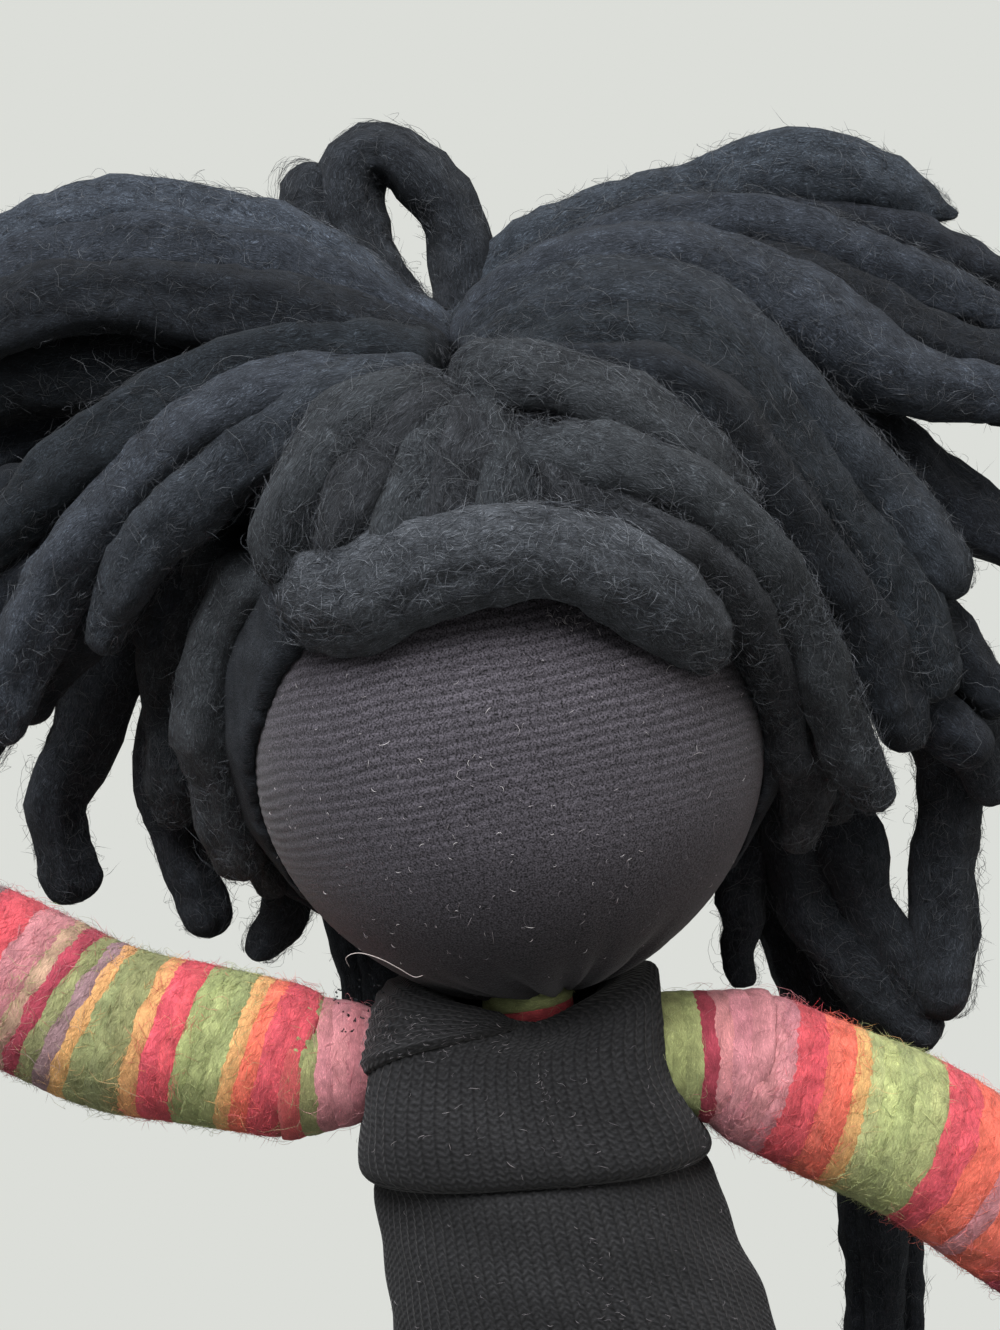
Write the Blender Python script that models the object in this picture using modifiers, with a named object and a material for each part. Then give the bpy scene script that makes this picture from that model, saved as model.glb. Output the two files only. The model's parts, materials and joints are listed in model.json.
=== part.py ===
"""A wire-armature doll wound in variegated wool, with a jersey face and long wool locks.

The doll stands on z = 0 and faces -Y. Left and right are as seen from its front, so left is -X.
Every shape is worked out in the doll's own frame, whose Z axis runs up through the middle of the
head. One empty then moves the whole doll so that the middle of its box stands on the origin.
"""

import math

import bmesh
import bpy
from mathutils import Matrix, Vector

# Clearances and materials' thicknesses, in metres
GAP = 0.0003
WELD = 0.000001
KNIT = 0.0015
JERSEY = 0.0006
YARN = 0.0030
YARN_GAP = 0.0006
WIRE_RADIUS = 0.0011
OVERRUN = 0.0040

# Place of the doll's own centre line from the middle of its box
STAND_X = 0.0045
STAND_Y = -0.0079

# Head and neck
BALL_RADIUS = 0.0375
NECK_LENGTH = 0.0055
NECK_RADIUS = 0.0068
GATHER_RADIUS = 0.0036
THREAD_RADIUS = 0.00035
NECK_WIRE_REACH = 0.0300

# Hair
LOCK_RADIUS = 0.0050
HAIR_DEPTH = 0.0066
CAP_SETBACK = 0.0080

# Torso and dress
HIP_TO_WAIST = 0.0465
BODICE_LENGTH = 0.0170
NECK_RISE = 0.0050
CHEST_HALF_WIDTH = 0.0211
CHEST_HALF_DEPTH = 0.0140
WAIST_HALF_WIDTH = 0.0222
HIP_HALF_WIDTH = 0.0262
HIP_HALF_DEPTH = 0.0160
HIP_LEAN = 0.0055
CHEST_LEAN = -0.0020
SHOULDER_RISE = 0.0040
DRESS_OVERLAP = 0.0030
STRAP_WIDTH = 0.0110
STRAP_LENGTH = 0.0240
STRAP_SLANT_DEG = -14

# Arms
SHOULDER_TILT = 0.0030
ARM_RADIUS = 0.0110
ELBOW_RADIUS = 0.0122
HAND_RADIUS = 0.0105
UPPER_ARM_LENGTH = 0.0270
FOREARM_LENGTH = 0.0360
SHOULDER_WIRE_LENGTH = 0.0095
UPPER_ARM_SLOPE_DEG = {"left": 15, "right": -28}
FOREARM_SLOPE_DEG = {"left": 27, "right": -37}
UPPER_ARM_LOOPS = 3
FOREARM_LOOPS = 5

# Legs
THIGH_LENGTH = 0.0460
SHIN_LENGTH = 0.0435
ANKLE_HEIGHT = 0.0165
LEG_SETBACK = 0.0030
LEG_SPACING = 0.0292
THIGH_RADIUS = 0.0126
THIGH_END_RADIUS = 0.0112
KNEE_RADIUS = 0.0108
SHIN_END_RADIUS = 0.0090
ANKLE_RADIUS = 0.0088
ROMPER_LEG_LENGTH = 0.0210
FOOT_LENGTH = 0.0460
FOOT_WIDTH = 0.0215
FOOT_HEIGHT = 0.0165
FOOT_FILLET = 0.0065
HEEL_LENGTH = 0.0150
SOLE_CUT = 0.0005

# Counts
ROUND_STEPS = 16
BODY_STEPS = 22
HEAD_STEPS = 22
HEAD_ARC_STEPS = 10
ROOT_ARC_STEPS = 4
THREAD_STEPS = 6
WIRE_SIDES = 8
CAP_STEPS = 22
LOOP_POINTS = 24
LOOP_SIDES = 1
LOCK_SIDES = 2
SPAN_STEPS = 2
FILLET_STEPS = 2
SHARP_ANGLE = math.radians(40)

# Heights that follow, from the ankles up
KNEE_HEIGHT = ANKLE_HEIGHT + SHIN_LENGTH
HIP_HEIGHT = KNEE_HEIGHT + THIGH_LENGTH
WAIST_HEIGHT = HIP_HEIGHT + HIP_TO_WAIST
SHOULDER_HEIGHT = WAIST_HEIGHT + BODICE_LENGTH
NECK_HEIGHT = SHOULDER_HEIGHT + NECK_RISE
CHIN_HEIGHT = NECK_HEIGHT + NECK_LENGTH

# Other sizes that follow
HEAD_RADIUS = BALL_RADIUS + GAP + JERSEY
CAP_RADIUS = HEAD_RADIUS + HAIR_DEPTH
HEAD_CENTRE = Vector((0, 0, CHIN_HEIGHT + HEAD_RADIUS))
GATHER_LATITUDE_DEG = -math.degrees(math.acos(GATHER_RADIUS / HEAD_RADIUS))
NECK_PIVOT = Vector((0, 0, NECK_HEIGHT))
BORE_RADIUS = WIRE_RADIUS + GAP
ROMPER_RADIUS = THIGH_RADIUS + GAP + KNIT
HIP_PLANE = HIP_HEIGHT + ROMPER_RADIUS + GAP
SIDES = {"left": -1, "right": 1}

# Shares of the head's radius: each lock's points from the head's centre, and its thickness
LEFT_BUNCH_SHARES = (
    ([(-0.20, 0.12, 1.20), (-0.20, 0.08, 1.55), (-0.42, 0.10, 1.92), (-0.82, 0.15, 2.17),
      (-1.35, 0.20, 2.28), (-1.85, 0.25, 2.20), (-2.20, 0.25, 1.94)], 1.05),
    ([(-0.21, -0.06, 1.20), (-0.25, -0.10, 1.49), (-0.62, -0.10, 1.80), (-1.10, -0.05, 1.93),
      (-1.62, 0.00, 1.86), (-2.06, 0.05, 1.60), (-2.32, 0.10, 1.24)], 1.05),
    ([(-0.23, -0.22, 1.12), (-0.30, -0.26, 1.38), (-0.65, -0.30, 1.57), (-1.09, -0.25, 1.59),
      (-1.58, -0.15, 1.42), (-2.00, -0.05, 1.07), (-2.26, 0.00, 0.63)], 1.05),
    ([(-0.27, -0.36, 1.04), (-0.36, -0.41, 1.30), (-0.69, -0.45, 1.34), (-1.10, -0.40, 1.23),
      (-1.51, -0.30, 0.93), (-1.83, -0.20, 0.55), (-2.00, -0.10, 0.20)], 1.05),
    ([(-0.34, -0.44, 0.97), (-0.46, -0.50, 1.22), (-0.88, -0.52, 1.05), (-1.24, -0.42, 0.74),
      (-1.50, -0.25, 0.41), (-1.69, -0.10, 0.14)], 0.95),
)
RIGHT_BUNCH_SHARES = (
    ([(0.13, 0.30, 1.22), (0.13, 0.33, 1.70), (0.49, 0.40, 2.13), (1.00, 0.42, 2.28),
      (1.49, 0.42, 2.28), (1.81, 0.40, 2.15), (2.01, 0.38, 2.01)], 0.95),
    ([(0.13, 0.12, 1.22), (0.15, 0.10, 1.64), (0.55, 0.10, 1.99), (1.11, 0.10, 1.99),
      (1.61, 0.10, 1.80), (1.95, 0.12, 1.54), (2.15, 0.14, 1.24)], 1.10),
    ([(0.12, -0.10, 1.18), (0.15, -0.15, 1.54), (0.50, -0.20, 1.76), (0.97, -0.20, 1.70),
      (1.42, -0.15, 1.45), (1.72, -0.10, 1.18), (1.90, -0.08, 0.98)], 1.05),
    ([(0.12, -0.28, 1.10), (0.15, -0.35, 1.42), (0.48, -0.42, 1.50), (0.92, -0.40, 1.30),
      (1.32, -0.30, 0.91), (1.61, -0.20, 0.52), (1.80, -0.10, 0.25)], 1.10),
    ([(0.16, -0.40, 1.04), (0.26, -0.46, 1.37), (0.71, -0.55, 1.13), (1.09, -0.45, 0.80),
      (1.34, -0.30, 0.42), (1.49, -0.15, 0.08), (1.55, 0.00, -0.20)], 1.00),
)
TOPKNOT_SHARES = (
    ([(-0.10, 0.50, 1.20), (-0.12, 0.46, 1.60), (-0.30, 0.44, 1.86), (-0.58, 0.40, 2.02),
      (-0.66, 0.38, 2.20), (-0.56, 0.36, 2.30)], 0.90),
    ([(-0.04, 0.56, 1.20), (0.00, 0.48, 1.62), (0.00, 0.42, 1.89), (-0.07, 0.40, 2.18),
      (-0.27, 0.40, 2.37), (-0.48, 0.40, 2.27), (-0.48, 0.42, 2.03), (-0.28, 0.46, 1.74)], 0.95),
)
CROWN_SHARES = {
    "crown_lock_top": ([(-0.12, -0.54, 1.22), (0.14, -0.64, 1.20), (0.42, -0.70, 1.06),
                        (0.62, -0.72, 0.90)], 0.90),
    "crown_lock_right": ([(0.04, -0.74, 0.94), (0.18, -0.83, 0.95), (0.39, -0.86, 0.88),
                          (0.70, -0.83, 0.72), (0.97, -0.70, 0.47), (1.12, -0.50, 0.17),
                          (1.18, -0.29, -0.10)], 0.90),
    "crown_lock_left": ([(-0.24, -0.74, 1.10), (-0.46, -0.74, 1.06), (-0.68, -0.68, 0.90),
                         (-0.84, -0.54, 0.68)], 0.90),
    "crown_lock_middle": ([(-0.02, -0.76, 1.07), (-0.12, -0.84, 0.99), (-0.16, -0.88, 0.86)], 0.80),
}
FRINGE_SHARES = ([(-0.92, -0.40, 0.60), (-0.66, -0.68, 0.65), (-0.30, -0.88, 0.68),
                  (0.00, -0.94, 0.64), (0.34, -0.95, 0.53), (0.60, -0.88, 0.37),
                  (0.78, -0.76, 0.19)], 0.95)
SIDE_SHARES = {
    "side_wrap_left": ([(-0.86, -0.12, 0.86), (-1.10, -0.10, 0.78), (-1.26, 0.00, 0.50),
                        (-1.31, 0.10, 0.14), (-1.27, 0.16, -0.20), (-1.10, 0.30, -0.52)], 1.05),
    "side_wrap_right": ([(1.00, 0.10, 0.76), (1.22, 0.12, 0.58), (1.33, 0.14, 0.21),
                         (1.30, 0.16, -0.14), (1.18, 0.22, -0.46)], 1.00),
}
HANGING_SHARES = {
    "hanging_lock_left_1": ([(-0.86, 0.64, 0.72), (-1.28, 0.62, 0.80), (-1.66, 0.54, 0.58),
                             (-1.84, 0.48, 0.22), (-1.85, 0.52, -0.08), (-1.81, 0.56, -0.38),
                             (-1.74, 0.60, -0.70), (-1.75, 0.66, -1.00)], 0.95),
    "hanging_lock_left_2": ([(-1.00, 0.56, 0.26), (-1.24, 0.54, 0.10), (-1.34, 0.54, -0.16),
                             (-1.31, 0.56, -0.46), (-1.27, 0.60, -0.76), (-1.29, 0.62, -1.05)], 0.90),
    "hanging_lock_left_3": ([(-0.86, 0.72, -0.52), (-0.93, 0.66, -0.72), (-0.98, 0.62, -0.95)], 0.80),
    "hanging_lock_right_1": ([(0.90, 0.62, -0.55), (0.90, 0.56, -0.82), (0.87, 0.54, -1.09)], 0.75),
    "hanging_lock_right_2": ([(0.94, 0.54, -0.10), (1.16, 0.52, -0.26), (1.22, 0.49, -0.50),
                              (1.24, 0.47, -0.78), (1.36, 0.44, -1.05), (1.54, 0.42, -1.22),
                              (1.67, 0.42, -1.32)], 0.90),
    "hanging_lock_right_3": ([(0.98, 0.58, 0.52), (1.36, 0.52, 0.54), (1.66, 0.42, 0.32),
                              (1.80, 0.36, -0.04), (1.83, 0.37, -0.38), (1.80, 0.40, -0.74),
                              (1.71, 0.42, -1.08)], 0.90),
    "back_lock_left": ([(-0.60, 0.98, 0.14), (-0.76, 1.19, -0.12), (-0.86, 1.22, -0.76),
                        (-0.94, 1.08, -1.48), (-0.84, 0.98, -2.20)], 1.00),
    "back_lock_middle": ([(0.04, 1.34, -0.36), (0.02, 1.30, -1.00), (-0.06, 1.10, -1.70),
                          (-0.02, 1.00, -2.30)], 1.05),
    "back_lock_right": ([(0.66, 0.96, 0.14), (0.88, 1.16, -0.16), (1.14, 1.14, -0.76),
                         (1.40, 1.00, -1.46), (1.47, 0.95, -2.10), (1.38, 0.95, -2.66)], 1.00),
}
TIP_SHARE = 0.42
CAP_FORWARD_SHARE = 0.80
CAP_SLOPE_SHARE = 0.655
HAIRLINE_SHARE = 0.70

# Shares of the torso: the height from the hips (0) to the shoulders (1), the width on the way from
# hips (0) by waist (1) to chest (2), and the depth from hips (0) to chest (1)
BODY_SHARES = ((0.0, 0.0, 0.0), (0.2, 0.1, 0.0), (0.45, 0.6, 0.5), (0.64, 1.0, 1.0), (0.82, 1.3, 1.0),
               (1.0, 2.0, 1.0))
TOP_SHARE = 0.86
SHOULDER_SHARE = 0.90
NECKLINE_WIDTH_SHARE = 0.42
NECKLINE_DEPTH_SHARE = 0.56

# Shares of a leg part: the way from its joint (0) to its end (1), and its fullness there
SWELL_SHARES = ((1.0, 0.0), (0.86, 0.18), (0.62, 0.62), (0.32, 1.0))

COLOURS = {
    "foam": ("f2f1ec", 0.85, 0.0),
    "wire": ("8d8f92", 0.38, 1.0),
    "jersey": ("3a353b", 0.92, 0.0),
    "knit": ("26272a", 0.95, 0.0),
    "hair": ("2a2c31", 0.90, 0.0),
    "thread": ("1d1d1f", 0.80, 0.0),
    "yarn_green": ("a9b76b", 0.95, 0.0),
    "yarn_red": ("d9505a", 0.95, 0.0),
    "yarn_pink": ("c97f8c", 0.95, 0.0),
}


def clear_scene():
    for thing in list(bpy.data.objects):
        bpy.data.objects.remove(thing, do_unlink=True)


def collection(name):
    made = bpy.data.collections.new(name)
    bpy.context.scene.collection.children.link(made)
    return made


def linear(channel):
    """One sRGB channel, 0 to 1, as linear light."""
    return channel / 12.92 if channel <= 0.04045 else ((channel + 0.055) / 1.055) ** 2.4


def material(name):
    """A plain Principled material for one finish of the doll."""
    made = bpy.data.materials.get(name)
    if made:
        return made
    code, roughness, metallic = COLOURS[name]
    channels = [linear(int(code[i:i + 2], 16) / 255) for i in (0, 2, 4)]
    made = bpy.data.materials.new(name)
    made.use_nodes = True
    shader = made.node_tree.nodes["Principled BSDF"]
    shader.inputs["Base Color"].default_value = (*channels, 1)
    shader.inputs["Roughness"].default_value = roughness
    shader.inputs["Metallic"].default_value = metallic
    made.diffuse_color = (*channels, 1)
    return made


clear_scene()
DOLL = collection("yarn_doll")
SCRATCH = collection("cutters")


def pivot(name, at, parent=None):
    """An empty on a joint's axis, at a point of the doll's own frame."""
    made = bpy.data.objects.new(name, None)
    DOLL.objects.link(made)
    made.empty_display_size = LOCK_RADIUS
    made["at"] = at[:]
    made.parent = parent
    made.location = at - Vector(parent["at"]) if parent else at
    return made


def scratch_object(name, mesh):
    made = bpy.data.objects.new(name, mesh)
    SCRATCH.objects.link(made)
    made.hide_render = True
    made.display_type = "WIRE"
    return made


def remove(thing):
    data = thing.data
    bpy.data.objects.remove(thing, do_unlink=True)
    if isinstance(data, bpy.types.Mesh):
        bpy.data.meshes.remove(data)
    else:
        bpy.data.curves.remove(data)


def evaluated_mesh(thing):
    """The mesh that an object's modifiers or bevel make, in the doll's frame."""
    bpy.context.view_layer.update()
    graph = bpy.context.evaluated_depsgraph_get()
    made = bpy.data.meshes.new_from_object(thing.evaluated_get(graph))
    made.transform(thing.matrix_world)
    return made


def solid(thing):
    """Replaces an object by its evaluated mesh, with loose caps welded."""
    made = evaluated_mesh(thing)
    shape = bmesh.new()
    shape.from_mesh(made)
    bmesh.ops.remove_doubles(shape, verts=shape.verts, dist=WELD)
    shape.to_mesh(made)
    shape.free()
    name = thing.name
    remove(thing)
    return scratch_object(name, made)


def boolean(thing, tool, operation):
    """Cuts or joins two solids. The tool is used up."""
    change = thing.modifiers.new("change", "BOOLEAN")
    change.operation = operation
    change.solver = "EXACT"
    change.object = tool
    made = evaluated_mesh(thing)
    name = thing.name
    remove(thing)
    remove(tool)
    return scratch_object(name, made)


def cut(thing, *tools):
    for tool in tools:
        thing = boolean(thing, tool, "DIFFERENCE")
    return thing


def join(first, *others):
    for other in others:
        first = boolean(first, other, "UNION")
    return first


def largest_body(thing):
    """Keeps the largest body of a solid that its cuts may have split."""
    shape = bmesh.new()
    shape.from_mesh(thing.data)
    left, islands = set(shape.verts), []
    while left:
        reached, front = set(), [left.pop()]
        while front:
            vertex = front.pop()
            reached.add(vertex)
            near = {edge.other_vert(vertex) for edge in vertex.link_edges} & left
            left -= near
            front.extend(near)
        islands.append(reached)
    islands.sort(key=len)
    for island in islands[:-1]:
        bmesh.ops.delete(shape, geom=list(island), context="VERTS")
    shape.to_mesh(thing.data)
    shape.free()
    return thing


def finish(thing, finish_name, parent):
    """Puts a finished piece in the doll's collection, with its origin on its joint's axis."""
    thing.data.transform(thing.matrix_world)
    thing.matrix_world = Matrix.Identity(4)
    thing.data.transform(Matrix.Translation(-Vector(parent["at"])))
    thing.parent = parent
    thing.data.materials.clear()
    thing.data.materials.append(material(finish_name))
    thing.hide_render = False
    thing.display_type = "TEXTURED"
    SCRATCH.objects.unlink(thing)
    DOLL.objects.link(thing)
    if isinstance(thing.data, bpy.types.Mesh):
        thing.data.shade_smooth()
        thing.data.set_sharp_from_angle(angle=SHARP_ANGLE)
    return thing


def turned(name, profile, steps, place=None):
    """A turned solid. The profile of (radius, height) runs down its outer side."""
    shape = bmesh.new()
    points = [shape.verts.new((radius, 0, height)) for radius, height in profile]
    for first, second in zip(points, points[1:]):
        shape.edges.new((first, second))
    mesh = bpy.data.meshes.new(name)
    shape.to_mesh(mesh)
    shape.free()
    made = scratch_object(name, mesh)
    turn = made.modifiers.new("turn", "SCREW")
    turn.angle = math.tau
    turn.steps = steps
    turn.render_steps = steps
    turn.use_merge_vertices = True
    turn.merge_threshold = WELD
    if place:
        made.matrix_world = place
    return solid(made)


def arc(radius, first_deg, last_deg, height=0.0, steps=ROOT_ARC_STEPS):
    """Points (radius, height) on a circle about the axis, from one latitude to another."""
    made = []
    for i in range(steps + 1):
        angle = math.radians(first_deg + (last_deg - first_deg) * i / steps)
        made.append((max(0.0, radius * math.cos(angle)), height + radius * math.sin(angle)))
    return made


def along(origin, direction):
    """A frame whose Z axis runs along a limb from its joint."""
    turn = direction.to_track_quat("Z", "Y").to_matrix().to_4x4()
    return Matrix.Translation(origin) @ turn


def rod(name, start, end, radius):
    """A round bar between two points."""
    shape = bmesh.new()
    length = (end - start).length
    middle = Matrix.Translation((0, 0, length / 2))
    bmesh.ops.create_cone(shape, cap_ends=True, segments=WIRE_SIDES, radius1=radius, radius2=radius,
                          depth=length, matrix=along(start, end - start) @ middle)
    mesh = bpy.data.meshes.new(name)
    shape.to_mesh(mesh)
    shape.free()
    return scratch_object(name, mesh)


def ball(name, centre, radii, steps):
    """A sphere or an ellipsoid."""
    shape = bmesh.new()
    size = Matrix.Diagonal((*radii, 1))
    bmesh.ops.create_uvsphere(shape, u_segments=steps, v_segments=steps // 2, radius=1,
                              matrix=Matrix.Translation(centre) @ size)
    mesh = bpy.data.meshes.new(name)
    shape.to_mesh(mesh)
    shape.free()
    return scratch_object(name, mesh)


def box(name, centre, size, place=None):
    shape = bmesh.new()
    bmesh.ops.create_cube(shape, size=1, matrix=Matrix.Translation(centre) @ Matrix.Diagonal((*size, 1)))
    mesh = bpy.data.meshes.new(name)
    shape.to_mesh(mesh)
    shape.free()
    if place:
        mesh.transform(place)
    return scratch_object(name, mesh)


def tube(name, points, radii, sides):
    """A round tube through a list of points, with its own radius at each."""
    curve = bpy.data.curves.new(name, "CURVE")
    curve.dimensions = "3D"
    curve.bevel_depth = 1
    curve.bevel_resolution = sides
    curve.use_fill_caps = True
    spline = curve.splines.new("POLY")
    spline.points.add(len(points) - 1)
    for target, point, radius in zip(spline.points, points, radii):
        target.co = (*point, 1)
        target.radius = radius
    return solid(scratch_object(name, curve))


def smooth_path(points, steps):
    """Points on the smooth curve through a few chosen ones."""
    padded = [points[0] * 2 - points[1], *points, points[-1] * 2 - points[-2]]
    made = []
    for a, b, c, d in zip(padded, padded[1:], padded[2:], padded[3:]):
        for i in range(steps):
            t = i / steps
            made.append(0.5 * (2 * b + (c - a) * t + (2 * a - 5 * b + 4 * c - d) * t * t
                               + (3 * b - 3 * c + d - a) * t * t * t))
    return [*made, points[-1]]


def ring_section(shape, centre, half_width, half_depth, rise, steps):
    """One level of a lofted shape: an oval whose sides may stand higher than its front."""
    place = Matrix.Translation(centre) @ Matrix.Diagonal((half_width, half_depth, 1, 1))
    made = bmesh.ops.create_circle(shape, segments=steps, radius=1, matrix=place)["verts"]
    for vertex in made:
        side = (vertex.co.x - centre.x) / half_width
        vertex.co.z += rise * side * side
    return made


def loft_rings(name, levels, steps, loop):
    """Ovals joined level by level: capped at both ends, or closed into one loop of walls."""
    shape = bmesh.new()
    rings = [ring_section(shape, *level, steps) for level in levels]
    pairs = list(zip(rings, rings[1:])) + ([(rings[-1], rings[0])] if loop else [])
    for first, second in pairs:
        for i in range(steps):
            j = (i + 1) % steps
            shape.faces.new((first[i], first[j], second[j], second[i]))
    if not loop:
        shape.faces.new(list(reversed(rings[0])))
        shape.faces.new(rings[-1])
    bmesh.ops.recalc_face_normals(shape, faces=shape.faces)
    mesh = bpy.data.meshes.new(name)
    shape.to_mesh(mesh)
    shape.free()
    return scratch_object(name, mesh)


def body_lean(height):
    """How far the torso's middle lies to one side of the head's, at a height."""
    if height < WAIST_HEIGHT:
        return HIP_LEAN * (WAIST_HEIGHT - height) / (WAIST_HEIGHT - HIP_PLANE)
    return CHEST_LEAN * min(1.0, (height - WAIST_HEIGHT) / (SHOULDER_HEIGHT - WAIST_HEIGHT))


def body_level(height, half_width, half_depth, rise=0.0):
    """One oval of the torso, centred on the spine's lean at that height."""
    return (Vector((body_lean(height), 0, height)), half_width, half_depth, rise)


def between(low, high, share):
    return low + (high - low) * share


def body_size(share):
    """The wound body's half width and half depth, from the hips (0) to the shoulders (1)."""
    for (s0, waist0, chest0), (s1, waist1, chest1) in zip(BODY_SHARES, BODY_SHARES[1:]):
        if share <= s1:
            t = (share - s0) / (s1 - s0)
            return body_width(between(waist0, waist1, t)), body_depth(between(chest0, chest1, t))
    return body_width(BODY_SHARES[-1][1]), body_depth(BODY_SHARES[-1][2])


def body_width(share):
    """The half width at a share of the way from the hips (0) by the waist (1) to the chest (2)."""
    if share < 1:
        return between(HIP_HALF_WIDTH, WAIST_HALF_WIDTH, share)
    return between(WAIST_HALF_WIDTH, CHEST_HALF_WIDTH, share - 1)


def body_depth(share):
    return between(HIP_HALF_DEPTH, CHEST_HALF_DEPTH, share)


def body_share(height):
    return (height - HIP_PLANE) / (SHOULDER_HEIGHT - HIP_PLANE)


def grown(level, offset):
    centre, half_width, half_depth, rise = level
    return centre, half_width + offset, half_depth + offset, rise


def outside_body(low, high, offset):
    """Ovals that lie outside the wound body by an offset, at the body's own levels."""
    shared = [between(HIP_PLANE, SHOULDER_HEIGHT, row[0]) for row in BODY_SHARES]
    heights = [low, *[height for height in shared if low < height < high], high]
    made = []
    for height in heights:
        width, depth = body_size(min(1.0, max(0.0, body_share(height))))
        made.append(body_level(height, width + offset, depth + offset))
    return made


def make_torso(parent):
    """The wound torso, with a cup in its top for the neck and a bore for the spine wire."""
    levels = outside_body(HIP_PLANE, SHOULDER_HEIGHT, 0)
    levels.append(body_level(NECK_HEIGHT - GAP, CHEST_HALF_WIDTH * TOP_SHARE, CHEST_HALF_DEPTH * TOP_SHARE))
    core = loft_rings("torso_core", levels, BODY_STEPS, loop=False)
    cup = ball("cup", NECK_PIVOT, [NECK_RADIUS + GAP] * 3, ROUND_STEPS)
    foot = Vector((HIP_LEAN / 2, 0, HIP_PLANE))
    bore = rod("bore", foot - Vector((0, 0, OVERRUN)), NECK_PIVOT, BORE_RADIUS)
    finish(cut(core, cup, bore), "yarn_green", parent)
    spine_top = NECK_PIVOT - Vector((0, 0, NECK_RADIUS + GAP + WIRE_RADIUS))
    up = (NECK_PIVOT - foot).normalized()
    spine = rod("spine_wire", foot + up * GAP, foot + up * (spine_top - foot).length, WIRE_RADIUS)
    finish(spine, "wire", parent)


def make_dress(parent):
    """The sock-knit dress: a bodice, a lower piece tucked under it and a folded strap."""
    lap_low, lap_high = WAIST_HEIGHT - DRESS_OVERLAP / 2, WAIST_HEIGHT + DRESS_OVERLAP / 2
    inner = [*outside_body(HIP_PLANE, lap_low, GAP), *outside_body(lap_high, lap_high, GAP)[:1]]
    outer = [grown(level, KNIT) for level in inner]
    lower = loft_rings("dress_lower", [*outer, *reversed(inner)], BODY_STEPS, loop=True)
    finish(lower, "knit", parent)

    lapped = GAP + KNIT + GAP
    clear = lap_high + GAP
    top_width, top_depth = CHEST_HALF_WIDTH * SHOULDER_SHARE, CHEST_HALF_DEPTH * SHOULDER_SHARE
    neck_width, neck_depth = CHEST_HALF_WIDTH * NECKLINE_WIDTH_SHARE, CHEST_HALF_DEPTH * NECKLINE_DEPTH_SHARE
    neckline = NECK_HEIGHT + GAP
    inner = [*outside_body(lap_low, clear, lapped), *outside_body(clear + KNIT, SHOULDER_HEIGHT, GAP)[1:],
             body_level(neckline, top_width, top_depth, SHOULDER_RISE / 2),
             body_level(neckline + GAP, neck_width, neck_depth)]
    outer = [grown(level, KNIT) for level in inner[:-2]]
    outer.append(body_level(neckline + KNIT / 2, top_width + KNIT, top_depth + KNIT, SHOULDER_RISE))
    outer.append(body_level(neckline + GAP + KNIT, neck_width + KNIT / 2, neck_depth + KNIT / 2))
    bodice = loft_rings("dress_bodice", [*outer, *reversed(inner)], BODY_STEPS, loop=True)
    finish(bodice, "knit", parent)

    inner = outside_body(WAIST_HEIGHT + STRAP_WIDTH / 2, SHOULDER_HEIGHT, GAP + KNIT + GAP)
    inner.append(grown(body_level(SHOULDER_HEIGHT + KNIT * 2, CHEST_HALF_WIDTH, CHEST_HALF_DEPTH),
                       GAP + KNIT + GAP))
    outer = [grown(level, KNIT) for level in inner]
    shell = loft_rings("dress_strap", [*outer, *reversed(inner)], BODY_STEPS, loop=True)
    middle = Vector((CHEST_LEAN - CHEST_HALF_WIDTH / 2, -CHEST_HALF_DEPTH, SHOULDER_HEIGHT - KNIT))
    slant = Matrix.Translation(middle) @ Matrix.Rotation(math.radians(STRAP_SLANT_DEG), 4, "Y")
    keep = box("keep", (0, 0, 0), (STRAP_LENGTH, CHEST_HALF_DEPTH * 3 / 2, STRAP_WIDTH), slant)
    strap = boolean(shell, keep, "INTERSECT")
    finish(largest_body(strap), "knit", parent)


def make_neck(parent):
    """The bound neck, a wound ball in the torso's cup, with the wire that carries the head."""
    flat = CHIN_HEIGHT - GAP * 2
    knob = ball("neck_winding", NECK_PIVOT, [NECK_RADIUS] * 3, ROUND_STEPS)
    above = box("above", NECK_PIVOT + Vector((0, 0, flat - NECK_HEIGHT + OVERRUN)),
                [NECK_RADIUS * 3, NECK_RADIUS * 3, OVERRUN * 2])
    bore = rod("bore", NECK_PIVOT - Vector((0, 0, NECK_RADIUS / 2)),
               Vector((0, 0, flat + OVERRUN)), BORE_RADIUS)
    finish(cut(knob, above, bore), "yarn_green", parent)
    start = NECK_PIVOT - Vector((0, 0, NECK_RADIUS / 2 - GAP))
    wire = rod("neck_wire", start, Vector((0, 0, CHIN_HEIGHT + NECK_WIRE_REACH)), WIRE_RADIUS)
    finish(wire, "wire", parent)


def head_side(radius):
    """The head's profile from its top down to the gather under the chin."""
    return arc(radius, 90, GATHER_LATITUDE_DEG, steps=HEAD_ARC_STEPS)


def head_form(name, radius):
    """A full ball with the same facets as the face's cover."""
    profile = [*head_side(radius), (0, -radius)]
    return turned(name, profile, HEAD_STEPS, Matrix.Translation(HEAD_CENTRE))


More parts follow.
